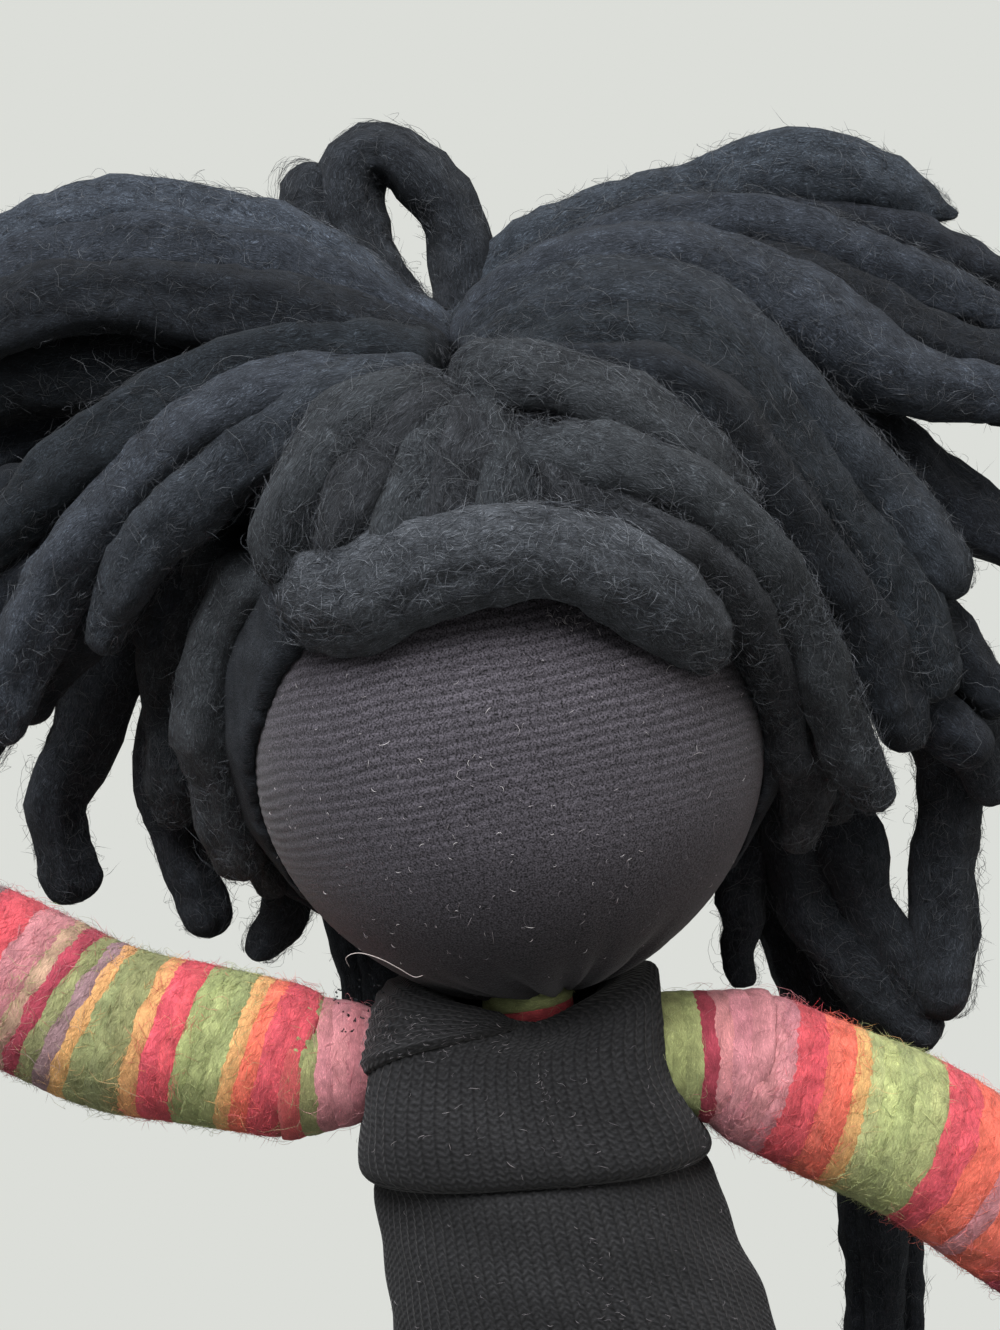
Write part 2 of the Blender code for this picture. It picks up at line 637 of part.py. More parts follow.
def make_head(parent):
    """A foam ball in a jersey cover that is gathered and bound under the chin."""
    foam = head_form("head_ball", BALL_RADIUS)
    bore = rod("bore", Vector((0, 0, CHIN_HEIGHT - OVERRUN)),
               Vector((0, 0, CHIN_HEIGHT + NECK_WIRE_REACH + GAP)), BORE_RADIUS)
    finish(cut(foam, bore), "foam", parent)
    profile = [*head_side(HEAD_RADIUS), *reversed(head_side(BALL_RADIUS + GAP))]
    cover = turned("face_cover", profile, HEAD_STEPS, Matrix.Translation(HEAD_CENTRE))
    finish(cover, "jersey", parent)
    thread_ring = GATHER_RADIUS - GAP - THREAD_RADIUS * 2
    height = CHIN_HEIGHT + THREAD_RADIUS / 2
    turns = [math.pi - math.tau * i / THREAD_STEPS for i in range(THREAD_STEPS + 1)]
    profile = [(thread_ring + THREAD_RADIUS * math.cos(turn), THREAD_RADIUS * math.sin(turn))
               for turn in turns]
    thread = turned("gather_thread", profile, ROUND_STEPS, Matrix.Translation((0, 0, height)))
    finish(thread, "thread", parent)


def lock(name, entry, extra=0.0):
    """One wool lock: a tube that tapers to its tip."""
    shares, thickness = entry
    points = smooth_path([HEAD_CENTRE + Vector(share) * HEAD_RADIUS for share in shares], SPAN_STEPS)
    last = len(points) - 1
    radii = [LOCK_RADIUS * thickness * (1 - (1 - TIP_SHARE) * (i / last) ** 3) + extra
             for i in range(last + 1)]
    return tube(name, points, radii, LOCK_SIDES)


def bunch(name, entries, extra=0.0):
    """Several locks that leave one root, joined into one solid."""
    made = [lock(f"{name}_{i}", entry, extra) for i, entry in enumerate(entries)]
    first = join(*made)
    first.name = name
    return first


def cap_solid(name, extra=0.0):
    """The mound of wound locks over the head's top, sides and back."""
    centre = HEAD_CENTRE + Vector((0, CAP_SETBACK, CAP_SETBACK))
    mound = ball(name, centre, [CAP_RADIUS + extra, CAP_RADIUS - GAP + extra, CAP_RADIUS + extra], CAP_STEPS)
    return mound


def face_cutter():
    """A half space in front of the hairline, which leaves the face bare."""
    tilt = math.atan(CAP_SLOPE_SHARE)
    edge = HEAD_CENTRE + Vector((0, -CAP_FORWARD_SHARE, HAIRLINE_SHARE)) * HEAD_RADIUS
    size = CAP_RADIUS * 4
    place = Matrix.Translation(edge) @ Matrix.Rotation(tilt, 4, "X")
    return box("face_cutter", (0, -size / 2, 0), (size, size, size), place)


def make_hair(head):
    """The hair: a mound, two bunches, a looped topknot, and locks that lie over or hang below."""
    mound = cut(cap_solid("hair_cap"), head_form("head_cutter", HEAD_RADIUS + GAP), face_cutter())
    finish(largest_body(mound), "hair", head)

    left = cut(bunch("hair_bunch_left", LEFT_BUNCH_SHARES), cap_solid("cap_cutter", GAP))
    finish(largest_body(left), "hair", head)
    right = cut(bunch("hair_bunch_right", RIGHT_BUNCH_SHARES), cap_solid("cap_cutter", GAP),
                bunch("left_cutter", LEFT_BUNCH_SHARES, GAP))
    finish(largest_body(right), "hair", head)
    knot = cut(bunch("topknot_loop", TOPKNOT_SHARES), cap_solid("cap_cutter", GAP),
               bunch("left_cutter", LEFT_BUNCH_SHARES, GAP), bunch("right_cutter", RIGHT_BUNCH_SHARES, GAP))
    finish(largest_body(knot), "hair", head)

    done = []
    small = {**CROWN_SHARES, "fringe_lock": FRINGE_SHARES, **SIDE_SHARES, **HANGING_SHARES}
    for name, entry in small.items():
        made = cut(lock(name, entry), cap_solid("cap_cutter", GAP),
                   head_form("head_cutter", HEAD_RADIUS + GAP),
                   bunch("left_cutter", LEFT_BUNCH_SHARES, GAP),
                   bunch("right_cutter", RIGHT_BUNCH_SHARES, GAP),
                   *[lock("lock_cutter", earlier, GAP) for earlier in done])
        finish(largest_body(made), "hair", head)
        done.append(entry)


def helix(name, place, loops, start, first_radius, growth):
    """One unbroken tube of yarn wound on a limb, and the least gap between its turns."""
    pitch = YARN + YARN_GAP
    points = []
    for i in range(loops * LOOP_POINTS + 1):
        angle = math.tau * i / LOOP_POINTS
        reach = start + pitch * i / LOOP_POINTS
        radius = first_radius + growth * reach
        points.append(Vector((radius * math.cos(angle), radius * math.sin(angle), reach)))
    half = LOOP_POINTS // 2
    least = min((a - b).length for i, a in enumerate(points) for b in points[i + half:])
    print(f"{name}: {loops} loops, least gap {1000 * (least - YARN):.2f} mm")
    return tube(name, [place @ point for point in points], [YARN / 2] * len(points), LOOP_SIDES)


def shoulder_centre(side):
    """The place where the arm's round root just clears the side of the dress."""
    way = SIDES[side]
    height = SHOULDER_HEIGHT - way * SHOULDER_TILT
    reach = []
    for i in range(-ROUND_STEPS, ROUND_STEPS + 1):
        rise = ARM_RADIUS * i / ROUND_STEPS
        at = min(height + rise, SHOULDER_HEIGHT)
        dress = way * body_lean(at) + body_size(body_share(at))[0] + GAP + KNIT
        reach.append(dress + math.sqrt(ARM_RADIUS ** 2 - rise ** 2))
    return Vector((way * (max(reach) + GAP), 0, height))


def make_arm(side, parent):
    """One arm: a wire in a wound core, with the outer turns of yarn as one tube on each part."""
    way = SIDES[side]
    shoulder = shoulder_centre(side)
    slope = math.radians(UPPER_ARM_SLOPE_DEG[side])
    upper_way = Vector((way * math.cos(slope), 0, math.sin(slope)))
    slope = math.radians(FOREARM_SLOPE_DEG[side])
    lower_way = Vector((way * math.cos(slope), 0, math.sin(slope)))
    elbow = shoulder + upper_way * UPPER_ARM_LENGTH
    swing = pivot(f"shoulder_swing_{side}_pivot", shoulder, parent)
    raising = pivot(f"shoulder_raise_{side}_pivot", shoulder, swing)
    bend = pivot(f"elbow_{side}_pivot", elbow, raising)
    for joint, point in (("shoulder", shoulder), ("elbow", elbow)):
        print(f"{side} {joint} at {tuple(round(c, 5) for c in point)} in the doll's frame")

    inward = Vector((-way, 0, 0))
    wire = rod(f"shoulder_wire_{side}", shoulder, shoulder + inward * SHOULDER_WIRE_LENGTH, WIRE_RADIUS)
    finish(wire, "wire", swing)

    place = along(shoulder, upper_way)
    end = UPPER_ARM_LENGTH - ELBOW_RADIUS - GAP
    growth = (ELBOW_RADIUS - ARM_RADIUS) / UPPER_ARM_LENGTH
    core = ARM_RADIUS - YARN - GAP
    profile = [(0, end), (core + growth * end, end), (core, 0), *arc(ARM_RADIUS, 0, -90)]
    arm = turned(f"upper_arm_{side}", profile, ROUND_STEPS, place)
    slot = box("slot", shoulder + inward * (ARM_RADIUS - BORE_RADIUS),
               (ARM_RADIUS * 2, BORE_RADIUS * 2, ARM_RADIUS * 3))
    bore = rod("bore", shoulder - upper_way * GAP, shoulder + upper_way * (end + OVERRUN), BORE_RADIUS)
    finish(cut(arm, slot, bore), "yarn_pink", raising)
    wire = rod(f"upper_arm_wire_{side}", shoulder + upper_way * (WIRE_RADIUS * 2 + GAP),
               shoulder + upper_way * (end - GAP), WIRE_RADIUS)
    finish(wire, "wire", raising)
    winding = helix(f"upper_arm_winding_{side}", place, UPPER_ARM_LOOPS, YARN / 2 + GAP,
                    ARM_RADIUS - YARN / 2, growth)
    finish(winding, "yarn_red", raising)

    place = along(elbow, lower_way)
    core = ELBOW_RADIUS - YARN - GAP
    wound = YARN + (YARN + YARN_GAP) * FOREARM_LOOPS + GAP * 2
    full = ELBOW_RADIUS - GAP
    profile = [*arc(HAND_RADIUS, 90, 0, FOREARM_LENGTH), (full, wound), (core, wound), (core, 0),
               *arc(ELBOW_RADIUS, 0, -90)]
    forearm = turned(f"forearm_{side}", profile, ROUND_STEPS, place)
    bore = rod("bore", elbow - lower_way * (ELBOW_RADIUS + OVERRUN),
               elbow + lower_way * FOREARM_LENGTH, BORE_RADIUS)
    finish(cut(forearm, bore), "yarn_green", bend)
    wire = rod(f"forearm_wire_{side}", elbow - lower_way * (ELBOW_RADIUS - GAP),
               elbow + lower_way * (FOREARM_LENGTH - GAP), WIRE_RADIUS)
    finish(wire, "wire", bend)
    winding = helix(f"forearm_winding_{side}", place, FOREARM_LOOPS, YARN / 2 + GAP,
                    ELBOW_RADIUS - YARN / 2, 0.0)
    finish(winding, "yarn_red", bend)


def swelling(end, end_radius, root_radius):
    """The profile of a wound limb: full near its rounded root and drawn in towards its end."""
    swell = [(between(end_radius, root_radius, full), end * reach) for reach, full in SWELL_SHARES]
    return [(0, end), *swell, *arc(root_radius, 0, -90)]


def make_leg(side, parent):
    """One leg: wound thigh, shin and foot on a wire, with the dress's short leg over the thigh."""
    way = SIDES[side]
    hip = Vector((HIP_LEAN + way * LEG_SPACING / 2, LEG_SETBACK, HIP_HEIGHT))
    knee = Vector((hip.x, hip.y, KNEE_HEIGHT))
    ankle = Vector((hip.x, hip.y, ANKLE_HEIGHT))
    hip_pivot = pivot(f"hip_{side}_pivot", hip, parent)
    knee_pivot = pivot(f"knee_{side}_pivot", knee, hip_pivot)
    ankle_pivot = pivot(f"ankle_{side}_pivot", ankle, knee_pivot)
    down = Vector((0, 0, -1))

    place = along(hip, down)
    end = HIP_HEIGHT - KNEE_HEIGHT - KNEE_RADIUS - GAP
    profile = swelling(end, THIGH_END_RADIUS, THIGH_RADIUS)
    thigh = turned(f"thigh_{side}", profile, ROUND_STEPS, place)
    bore = rod("bore", hip + down * (end + OVERRUN), hip - down * (THIGH_RADIUS + OVERRUN), BORE_RADIUS)
    finish(cut(thigh, bore), "yarn_red", hip_pivot)
    wire = rod(f"thigh_wire_{side}", hip + down * (end - GAP), hip - down * (THIGH_RADIUS - GAP), WIRE_RADIUS)
    finish(wire, "wire", hip_pivot)
    inner = THIGH_RADIUS + GAP
    profile = [*reversed(arc(inner, 0, -90)), (inner, ROMPER_LEG_LENGTH),
               (ROMPER_RADIUS, ROMPER_LEG_LENGTH), *arc(ROMPER_RADIUS, 0, -90)]
    finish(turned(f"dress_leg_{side}", profile, ROUND_STEPS, place), "knit", hip_pivot)

    place = along(knee, down)
    end = KNEE_HEIGHT - ANKLE_HEIGHT - ANKLE_RADIUS - GAP
    profile = swelling(end, SHIN_END_RADIUS, KNEE_RADIUS)
    shin = turned(f"shin_{side}", profile, ROUND_STEPS, place)
    bore = rod("bore", knee + down * (end + OVERRUN), knee - down * (KNEE_RADIUS + OVERRUN), BORE_RADIUS)
    finish(cut(shin, bore), "yarn_green", knee_pivot)
    wire = rod(f"shin_wire_{side}", knee + down * (end - GAP), knee - down * (KNEE_RADIUS - GAP), WIRE_RADIUS)
    finish(wire, "wire", knee_pivot)

    middle = Vector((ankle.x, ankle.y + HEEL_LENGTH - FOOT_LENGTH / 2, FOOT_HEIGHT / 2 - SOLE_CUT))
    foot = box(f"foot_{side}", middle, (FOOT_WIDTH, FOOT_LENGTH, FOOT_HEIGHT))
    round_off = foot.modifiers.new("round_off", "BEVEL")
    round_off.width = FOOT_FILLET
    round_off.segments = FILLET_STEPS
    foot = solid(foot)
    foot.name = f"foot_{side}"
    heel = ball("heel", ankle, [ANKLE_RADIUS] * 3, ROUND_STEPS)
    below = box("below", (middle.x, middle.y, -OVERRUN), (FOOT_LENGTH, FOOT_LENGTH * 2, OVERRUN * 2))
    foot = cut(join(foot, heel), below)
    finish(foot, "yarn_pink", ankle_pivot)


def main():
    stand = pivot("doll_centre", Vector((0, 0, 0)))
    neck = pivot("neck_pivot", NECK_PIVOT, stand)
    head = pivot("head_pivot", HEAD_CENTRE, neck)
    make_torso(stand)
    make_dress(stand)
    make_neck(neck)
    make_head(head)
    make_hair(head)
    for side in SIDES:
        make_arm(side, stand)
        make_leg(side, stand)
    stand.location = (STAND_X, STAND_Y, 0)


main()
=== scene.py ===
# %% [markdown]
# A yarn doll is mostly fibre. Under the wool there is a wire frame, a foam ball and a wound body,
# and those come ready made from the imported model. This script adds what the eye sees: a ribbed
# jersey face, thick felted locks, arms wound in dyed yarn and a dress cut from a black sock.
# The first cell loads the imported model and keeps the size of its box.

# %% The frame
import json
import math

import bmesh
import bpy
import numpy as np
from mathutils import Matrix, Vector, noise

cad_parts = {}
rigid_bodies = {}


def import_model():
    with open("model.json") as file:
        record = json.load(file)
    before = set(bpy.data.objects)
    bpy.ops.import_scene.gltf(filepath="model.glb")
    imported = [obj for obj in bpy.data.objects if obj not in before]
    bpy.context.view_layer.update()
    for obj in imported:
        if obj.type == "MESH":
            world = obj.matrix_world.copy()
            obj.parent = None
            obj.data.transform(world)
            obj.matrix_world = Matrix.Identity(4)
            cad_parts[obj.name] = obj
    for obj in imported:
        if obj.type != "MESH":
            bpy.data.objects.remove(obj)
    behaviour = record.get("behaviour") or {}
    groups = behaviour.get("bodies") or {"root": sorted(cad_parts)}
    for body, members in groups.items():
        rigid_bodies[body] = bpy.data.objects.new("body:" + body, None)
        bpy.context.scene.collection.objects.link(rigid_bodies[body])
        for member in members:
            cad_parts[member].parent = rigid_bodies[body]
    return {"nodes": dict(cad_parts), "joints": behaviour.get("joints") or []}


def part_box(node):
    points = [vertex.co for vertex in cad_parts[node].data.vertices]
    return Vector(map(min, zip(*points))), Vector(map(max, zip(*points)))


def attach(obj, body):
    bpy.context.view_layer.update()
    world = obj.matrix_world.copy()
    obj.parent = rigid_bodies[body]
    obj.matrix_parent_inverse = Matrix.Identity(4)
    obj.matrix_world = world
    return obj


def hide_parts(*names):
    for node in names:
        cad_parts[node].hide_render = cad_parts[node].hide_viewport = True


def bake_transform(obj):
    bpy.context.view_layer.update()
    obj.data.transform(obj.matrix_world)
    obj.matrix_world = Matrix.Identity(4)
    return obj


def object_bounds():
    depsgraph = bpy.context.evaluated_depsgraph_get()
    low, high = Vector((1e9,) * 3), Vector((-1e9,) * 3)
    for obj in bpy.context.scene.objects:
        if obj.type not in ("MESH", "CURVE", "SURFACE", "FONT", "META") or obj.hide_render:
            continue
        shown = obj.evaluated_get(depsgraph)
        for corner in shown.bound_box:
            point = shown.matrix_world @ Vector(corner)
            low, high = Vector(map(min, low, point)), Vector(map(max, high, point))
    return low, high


for leftover in list(bpy.data.objects):
    bpy.data.objects.remove(leftover)
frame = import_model()

MM = 0.001
TURN = math.tau
cad_box = [list(corner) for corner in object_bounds()]
joints = {row["name"]: np.array(row["pos_m"]) for row in frame["joints"]}
HEAD = joints["head_turn"]
NECK = joints["neck_nod"]
luck = np.random.default_rng(11)
print("box of the frame, mm:", [[round(c / MM, 1) for c in corner] for corner in cad_box])

# %% [markdown]
# The picture is a close-up of the head and shoulders, taken from straight in front with the doll
# leaning a little to the left. One pixel covers 0.15 mm at the middle of the head. With the camera
# fixed first, a place in the picture and a depth give a point on the doll, so each lock of hair
# can follow the route that it has in the picture.

# %% The camera and the picture's own measure
PICTURE = (1000, 1330)
HEAD_PIXEL = (508, 738)
PIXEL = 0.15 * MM
LEAN = math.radians(4.2)
CAMERA_DISTANCE = 320 * MM
picture_right = np.array([math.cos(LEAN), 0, -math.sin(LEAN)])
picture_up = np.array([math.sin(LEAN), 0, math.cos(LEAN)])


def head_plane(x, y):
    """The point of the head's own plane that a pixel shows."""
    across, down = x - HEAD_PIXEL[0], y - HEAD_PIXEL[1]
    return HEAD + (picture_right * across - picture_up * down) * PIXEL


camera_place = head_plane(PICTURE[0] / 2, PICTURE[1] / 2) - np.array([0, CAMERA_DISTANCE, 0])


def from_picture(x, y, depth):
    """The point behind a pixel, at a depth in millimetres behind the middle of the head."""
    flat = head_plane(x, y)
    return camera_place + (flat - camera_place) * (1 + depth * MM / CAMERA_DISTANCE)


def to_picture(points):
    """The pixels that show some points."""
    away = np.asarray(points) - camera_place
    flat = away / away[..., 1:2] * CAMERA_DISTANCE / PIXEL
    return flat @ picture_right + PICTURE[0] / 2, PICTURE[1] / 2 - flat @ picture_up


camera = bpy.data.cameras.new("camera")
camera.sensor_fit = "VERTICAL"
camera.lens = camera.sensor_height * CAMERA_DISTANCE / (PICTURE[1] * PIXEL)
camera.clip_start = 0.01
camera_object = bpy.data.objects.new("camera", camera)
bpy.context.scene.collection.objects.link(camera_object)
axes = Matrix((picture_right, picture_up, (0, -1, 0))).transposed().to_4x4()
camera_object.matrix_world = Matrix.Translation(camera_place) @ axes
bpy.context.scene.camera = camera_object
bpy.context.scene.view_settings.view_transform = "Standard"
print("lens, mm:", round(camera.lens, 1))

# %% [markdown]
# Every colour below is written as a hex value, the way a paint chart gives it. Blender works in
# linear light, so one function turns them. Materials are built from nodes, and one small helper
# adds a node: it sets the node's fields, and it links or sets each of its inputs.

# %% Colours and nodes


def linear(code):
    """A hex colour in linear light, with its alpha."""
    channels = [int(code[i:i + 2], 16) / 255 for i in (0, 2, 4)]
    return (*[c / 12.92 if c <= 0.04045 else ((c + 0.055) / 1.055) ** 2.4 for c in channels], 1.0)


def add(tree, kind, inputs=(), **fields):
    """Adds a shader node, with its fields and with its inputs linked or set."""
    made = tree.nodes.new("ShaderNode" + kind)
    for field, value in fields.items():
        setattr(made, field, value)
    for key, value in dict(inputs).items():
        if isinstance(value, bpy.types.NodeSocket):
            tree.links.new(value, made.inputs[key])
        else:
            made.inputs[key].default_value = value
    return made


def new_material(name):
    """A material with an empty tree and its output node."""
    made = bpy.data.materials.new(name)
    made.use_nodes = True
    made.node_tree.nodes.clear()
    return made, made.node_tree, made.node_tree.nodes.new("ShaderNodeOutputMaterial")


def finish_material(tree, output, shader):
    """Links the last shader to the output."""
    tree.links.new(shader.outputs[0], output.inputs["Surface"])


# %% [markdown]
# The doll stands on a pale floor before a pale backdrop. A bright room shows behind it in the
# picture, so the backdrop glows for the camera alone and adds no light to the doll. From behind it
# is clear, so that it never hides the doll. The floor is paint that keeps the doll's shadow, and it
# sends up less light than its pale colour would.

# %% The stage
FLOOR_COLOUR = "b2b2ae"
BACKDROP_COLOUR = "dcded9"
FLOOR_SIZE = 3.0
FLOOR_BOUNCE = "7a7a78"
BACKDROP_DISTANCE = 0.33


def stage_material(name, code, glow):
    """Matt paint. A camera, a gloss and a glass see its pale colour, either lit or glowing."""
    made, tree, output = new_material(name)
    bounce = add(tree, "BsdfDiffuse", {"Color": linear(FLOOR_BOUNCE)})
    rays = add(tree, "LightPath")
    seen = add(tree, "Math", {0: rays.outputs["Is Camera Ray"], 1: rays.outputs["Is Glossy Ray"]},
               operation="MAXIMUM")
    seen = add(tree, "Math", {0: seen.outputs[0], 1: rays.outputs["Is Transmission Ray"]},
               operation="MAXIMUM")
    if glow:
        pale = add(tree, "Emission", {"Color": linear(code), "Strength": 1.0})
    else:
        pale = add(tree, "BsdfDiffuse", {"Color": linear(code)})
    mixed = add(tree, "MixShader", {0: seen.outputs[0], 1: bounce.outputs[0], 2: pale.outputs[0]})
    if glow:
        facing = add(tree, "NewGeometry")
        clear = add(tree, "BsdfTransparent")
        mixed = add(tree, "MixShader", {0: facing.outputs["Backfacing"], 1: mixed.outputs[0],
                                        2: clear.outputs[0]})
    finish_material(tree, output, mixed)
    return made


def plane(name, size, place):
    """A square sheet of the stage. Its size is half its side."""
    shape = bmesh.new()
    bmesh.ops.create_grid(shape, x_segments=1, y_segments=1, size=size, matrix=place)
    mesh = bpy.data.meshes.new(name)
    shape.to_mesh(mesh)
    shape.free()
    made = bpy.data.objects.new(name, mesh)
    bpy.context.scene.collection.objects.link(made)
    return made


floor = plane("floor", FLOOR_SIZE, Matrix.Translation((0, 0, cad_box[0][2])))
floor.data.materials.append(stage_material("floor_paint", FLOOR_COLOUR, glow=False))
upright = Matrix.Translation((0, BACKDROP_DISTANCE, 0)) @ Matrix.Rotation(math.pi / 2, 4, "X")
backdrop = plane("backdrop", FLOOR_SIZE, upright)
backdrop.data.materials.append(stage_material("backdrop_paint", BACKDROP_COLOUR, glow=True))

# %% [markdown]
# Wool looks flat under one hard lamp. A wide soft lamp high in front stands for the window, a
# second one from the right lifts the shaded side, and the world fills in, more from above than
# from below.

# %% The light
WINDOW_PLACE = (-0.17, -0.66, 1.02)
WINDOW_SIZE = 0.60
WINDOW_POWER = 21.0
SIDE_PLACE = (0.70, -0.30, 0.45)
SIDE_SIZE = 0.50
SIDE_POWER = 1.8
WORLD_BELOW = 0.12
WORLD_ABOVE = 0.56


def soft_lamp(name, place, aim, size, power, code):
    """A square lamp that points at a place."""
    lamp = bpy.data.lights.new(name, "AREA")
    lamp.size = size
    lamp.energy = power
    lamp.color = linear(code)[:3]
    made = bpy.data.objects.new(name, lamp)
    bpy.context.scene.collection.objects.link(made)
    made.location = place
    made.rotation_euler = (Vector(aim) - Vector(place)).to_track_quat("-Z", "Y").to_euler()


soft_lamp("window", WINDOW_PLACE, HEAD, WINDOW_SIZE, WINDOW_POWER, "fbfcff")
soft_lamp("side", SIDE_PLACE, HEAD, SIDE_SIZE, SIDE_POWER, "fffaf2")
world = bpy.data.worlds.new("room")
world.use_nodes = True
room_light = world.node_tree.nodes["Background"]
room_light.inputs["Color"].default_value = linear("f4f6f8")
room_seen = add(world.node_tree, "Background", {"Color": linear(BACKDROP_COLOUR), "Strength": 1.0})
rays = add(world.node_tree, "LightPath")
shown = add(world.node_tree, "MixShader", {0: rays.outputs["Is Camera Ray"], 1: room_light.outputs[0],
                                           2: room_seen.outputs[0]})
finish_material(world.node_tree, world.node_tree.nodes["World Output"], shown)
way = add(world.node_tree, "TexCoord")
height = add(world.node_tree, "SeparateXYZ", {0: way.outputs["Generated"]})
strength = add(world.node_tree, "MapRange", {0: height.outputs["Z"], 1: -0.3, 2: 0.7, 3: WORLD_BELOW,
                                             4: WORLD_ABOVE})
world.node_tree.links.new(strength.outputs[0], room_light.inputs["Strength"])
bpy.context.scene.world = world

# %% [markdown]
# Locks, limbs and yarn are all round things that follow a line. A route keeps such a line with a
# radius and a frame at each point, and the frame is carried along the line without twisting. Any
# point near the line is then given by three numbers: how far along, how far round, how far out.

# %% Routes


def unit(rows):
    """Directions of length one."""
    return rows / np.maximum(np.linalg.norm(rows, axis=-1, keepdims=True), 1e-12)


def smooth_path(points, steps=8):
    """A smooth line through a few chosen points."""
    points = np.array(points, float)
    ends = np.vstack([2 * points[0] - points[1], points, 2 * points[-1] - points[-2]])
    t = np.arange(steps)[:, None] / steps
    made = [0.5 * (2 * b + (c - a) * t + (2 * a - 5 * b + 4 * c - d) * t ** 2
                   + (3 * b - 3 * c + d - a) * t ** 3)
            for a, b, c, d in zip(ends, ends[1:], ends[2:], ends[3:])]
    return np.vstack([*made, points[-1:]])


class Route:
    """A centre line with a radius, and with a frame of two directions across it."""

    def __init__(self, points, radii, out=None, round_ends=(True, True)):
        self.round_ends = round_ends
        self.points = np.array(points, float)
        self.radii = np.array(np.broadcast_to(radii, len(points)), float)
        steps = np.linalg.norm(np.diff(self.points, axis=0), axis=1)
        self.distance = np.concatenate([[0.0], np.cumsum(steps)])
        self.length = float(self.distance[-1])
        self.way = unit(np.gradient(self.points, axis=0))
        self.out = carried_normals(self.way) if out is None else out
        self.side = np.cross(self.way, self.out)

    def read(self, values, distance):
        """Values kept at the line's points, read between them."""
        if values.ndim == 1:
            return np.interp(distance, self.distance, values)
        return np.stack([np.interp(distance, self.distance, row) for row in values.T], axis=-1)

    def radius(self, distance):
        """The radius at a distance along the line."""
        return self.read(self.radii, distance)

    def at(self, distance, angle, reach):
        """Points at a distance along the line, an angle round it and a reach from it."""
        out, side = self.read(self.out, distance), self.read(self.side, distance)
        across = np.cos(angle)[..., None] * out + np.sin(angle)[..., None] * side
        return self.read(self.points, distance) + reach[..., None] * across

    def faced_down(self, out, line):
        """The outward directions of a winding, which a flat sole turns downwards."""
        return out

    def domed(self, distance, share=1.0):
        """The radius, rounded off at the ends that are round."""
        radius = self.radius(distance)
        far = np.full_like(distance, np.inf)
        from_start = distance if self.round_ends[0] else far
        from_end = self.length - distance if self.round_ends[1] else far
        end = np.minimum(from_start, from_end) / (radius * share)
        return radius * np.sqrt(np.clip(1 - (1 - np.clip(end, 0, 1)) ** 2, 0, 1))


def carried_normals(way):
    """A direction across a line, carried along it without turning about it."""
    normal = Vector(way[0]).orthogonal().normalized()
    made = [normal.copy()]
    for before, after in zip(way, way[1:]):
        normal.rotate(Vector(before).rotation_difference(Vector(after)))
        made.append(normal.copy())
    return np.array(made)


# %% [markdown]
# One grid can be wrapped into any closed skin: its first direction goes round and its second goes
# along. A grid operator makes the faces, a function gives each point its place, and the seam and
# the two poles are merged. Each point also keeps its place on the unrolled skin, in metres, and a
# colour, so that a wool or yarn material can follow the surface.

# %% Skins
WELD = 0.002 * MM


def keep_values(mesh, name, kind, values):
    """Stores one value for each point of a mesh."""
    field = {"FLOAT_VECTOR": "vector", "FLOAT_COLOR": "color"}[kind]
    attribute = mesh.attributes.new(name, kind, "POINT")
    attribute.data.foreach_set(field, np.asarray(values, np.float32).ravel())


def merge(mesh, turn_out=True):
    """Merges doubled points and, on a closed skin, turns its faces outwards."""
    shape = bmesh.new()
    shape.from_mesh(mesh)
    bmesh.ops.remove_doubles(shape, verts=shape.verts, dist=WELD)
    if turn_out:
        bmesh.ops.recalc_face_normals(shape, faces=shape.faces)
    shape.to_mesh(mesh)
    shape.free()


def skin(name, columns, rows, place):
    """Wraps a grid into a closed skin. place turns round and along into points, lay and colour."""
    shape = bmesh.new()
    shape.loops.layers.uv.new("UVMap")
    bmesh.ops.create_grid(shape, x_segments=columns, y_segments=rows, size=1, calc_uvs=True)
    mesh = bpy.data.meshes.new(name)
    shape.to_mesh(mesh)
    shape.free()
    grid = np.empty(len(mesh.vertices) * 3)
    mesh.vertices.foreach_get("co", grid)
    around, along = (grid.reshape(-1, 3)[:, :2].T + 1) / 2
    points, lay, colour = place(around, along)
    mesh.vertices.foreach_set("co", points.ravel())
    keep_values(mesh, "lay", "FLOAT_VECTOR", lay)
    keep_values(mesh, "colour", "FLOAT_COLOR", np.broadcast_to(colour, (len(points), 4)))
    merge(mesh)
    mesh.shade_smooth()
    made = bpy.data.objects.new(name, mesh)
    bpy.context.scene.collection.objects.link(made)
    return made


def on_route(route, distance, angle, reach):
    """Points on a route, with their place on the skin when it is laid flat."""
    lay = np.stack([distance, reach * np.cos(angle), reach * np.sin(angle)], axis=-1)
    return route.at(distance, angle, reach), lay


def combine(name, parts):
    """Joins several objects into one, which keeps the materials of all."""
    first = parts[0]
    if len(parts) > 1:
        with bpy.context.temp_override(active_object=first, selected_editable_objects=parts,
                                       selected_objects=parts):
            bpy.ops.object.join()
    first.name = name
    first.data.name = name
    return first


# %% [markdown]
# Loose fibres make wool look like wool. Each one is a thin closed spindle of three sides: a poly
# line of a few points whose radius is zero at both ends. Hundreds share one curve, which is made a
# mesh at once. A real wool fibre is 0.03 mm thick. These are two or three times as thick, to show.

# %% Fibres
HUGGING_THICK = 0.08 * MM
STRAY_THICK = 0.055 * MM
YARN_FUZZ_THICK = 0.065 * MM
HALO_THICK = 0.05 * MM
LEAST_STEP = 0.02 * MM


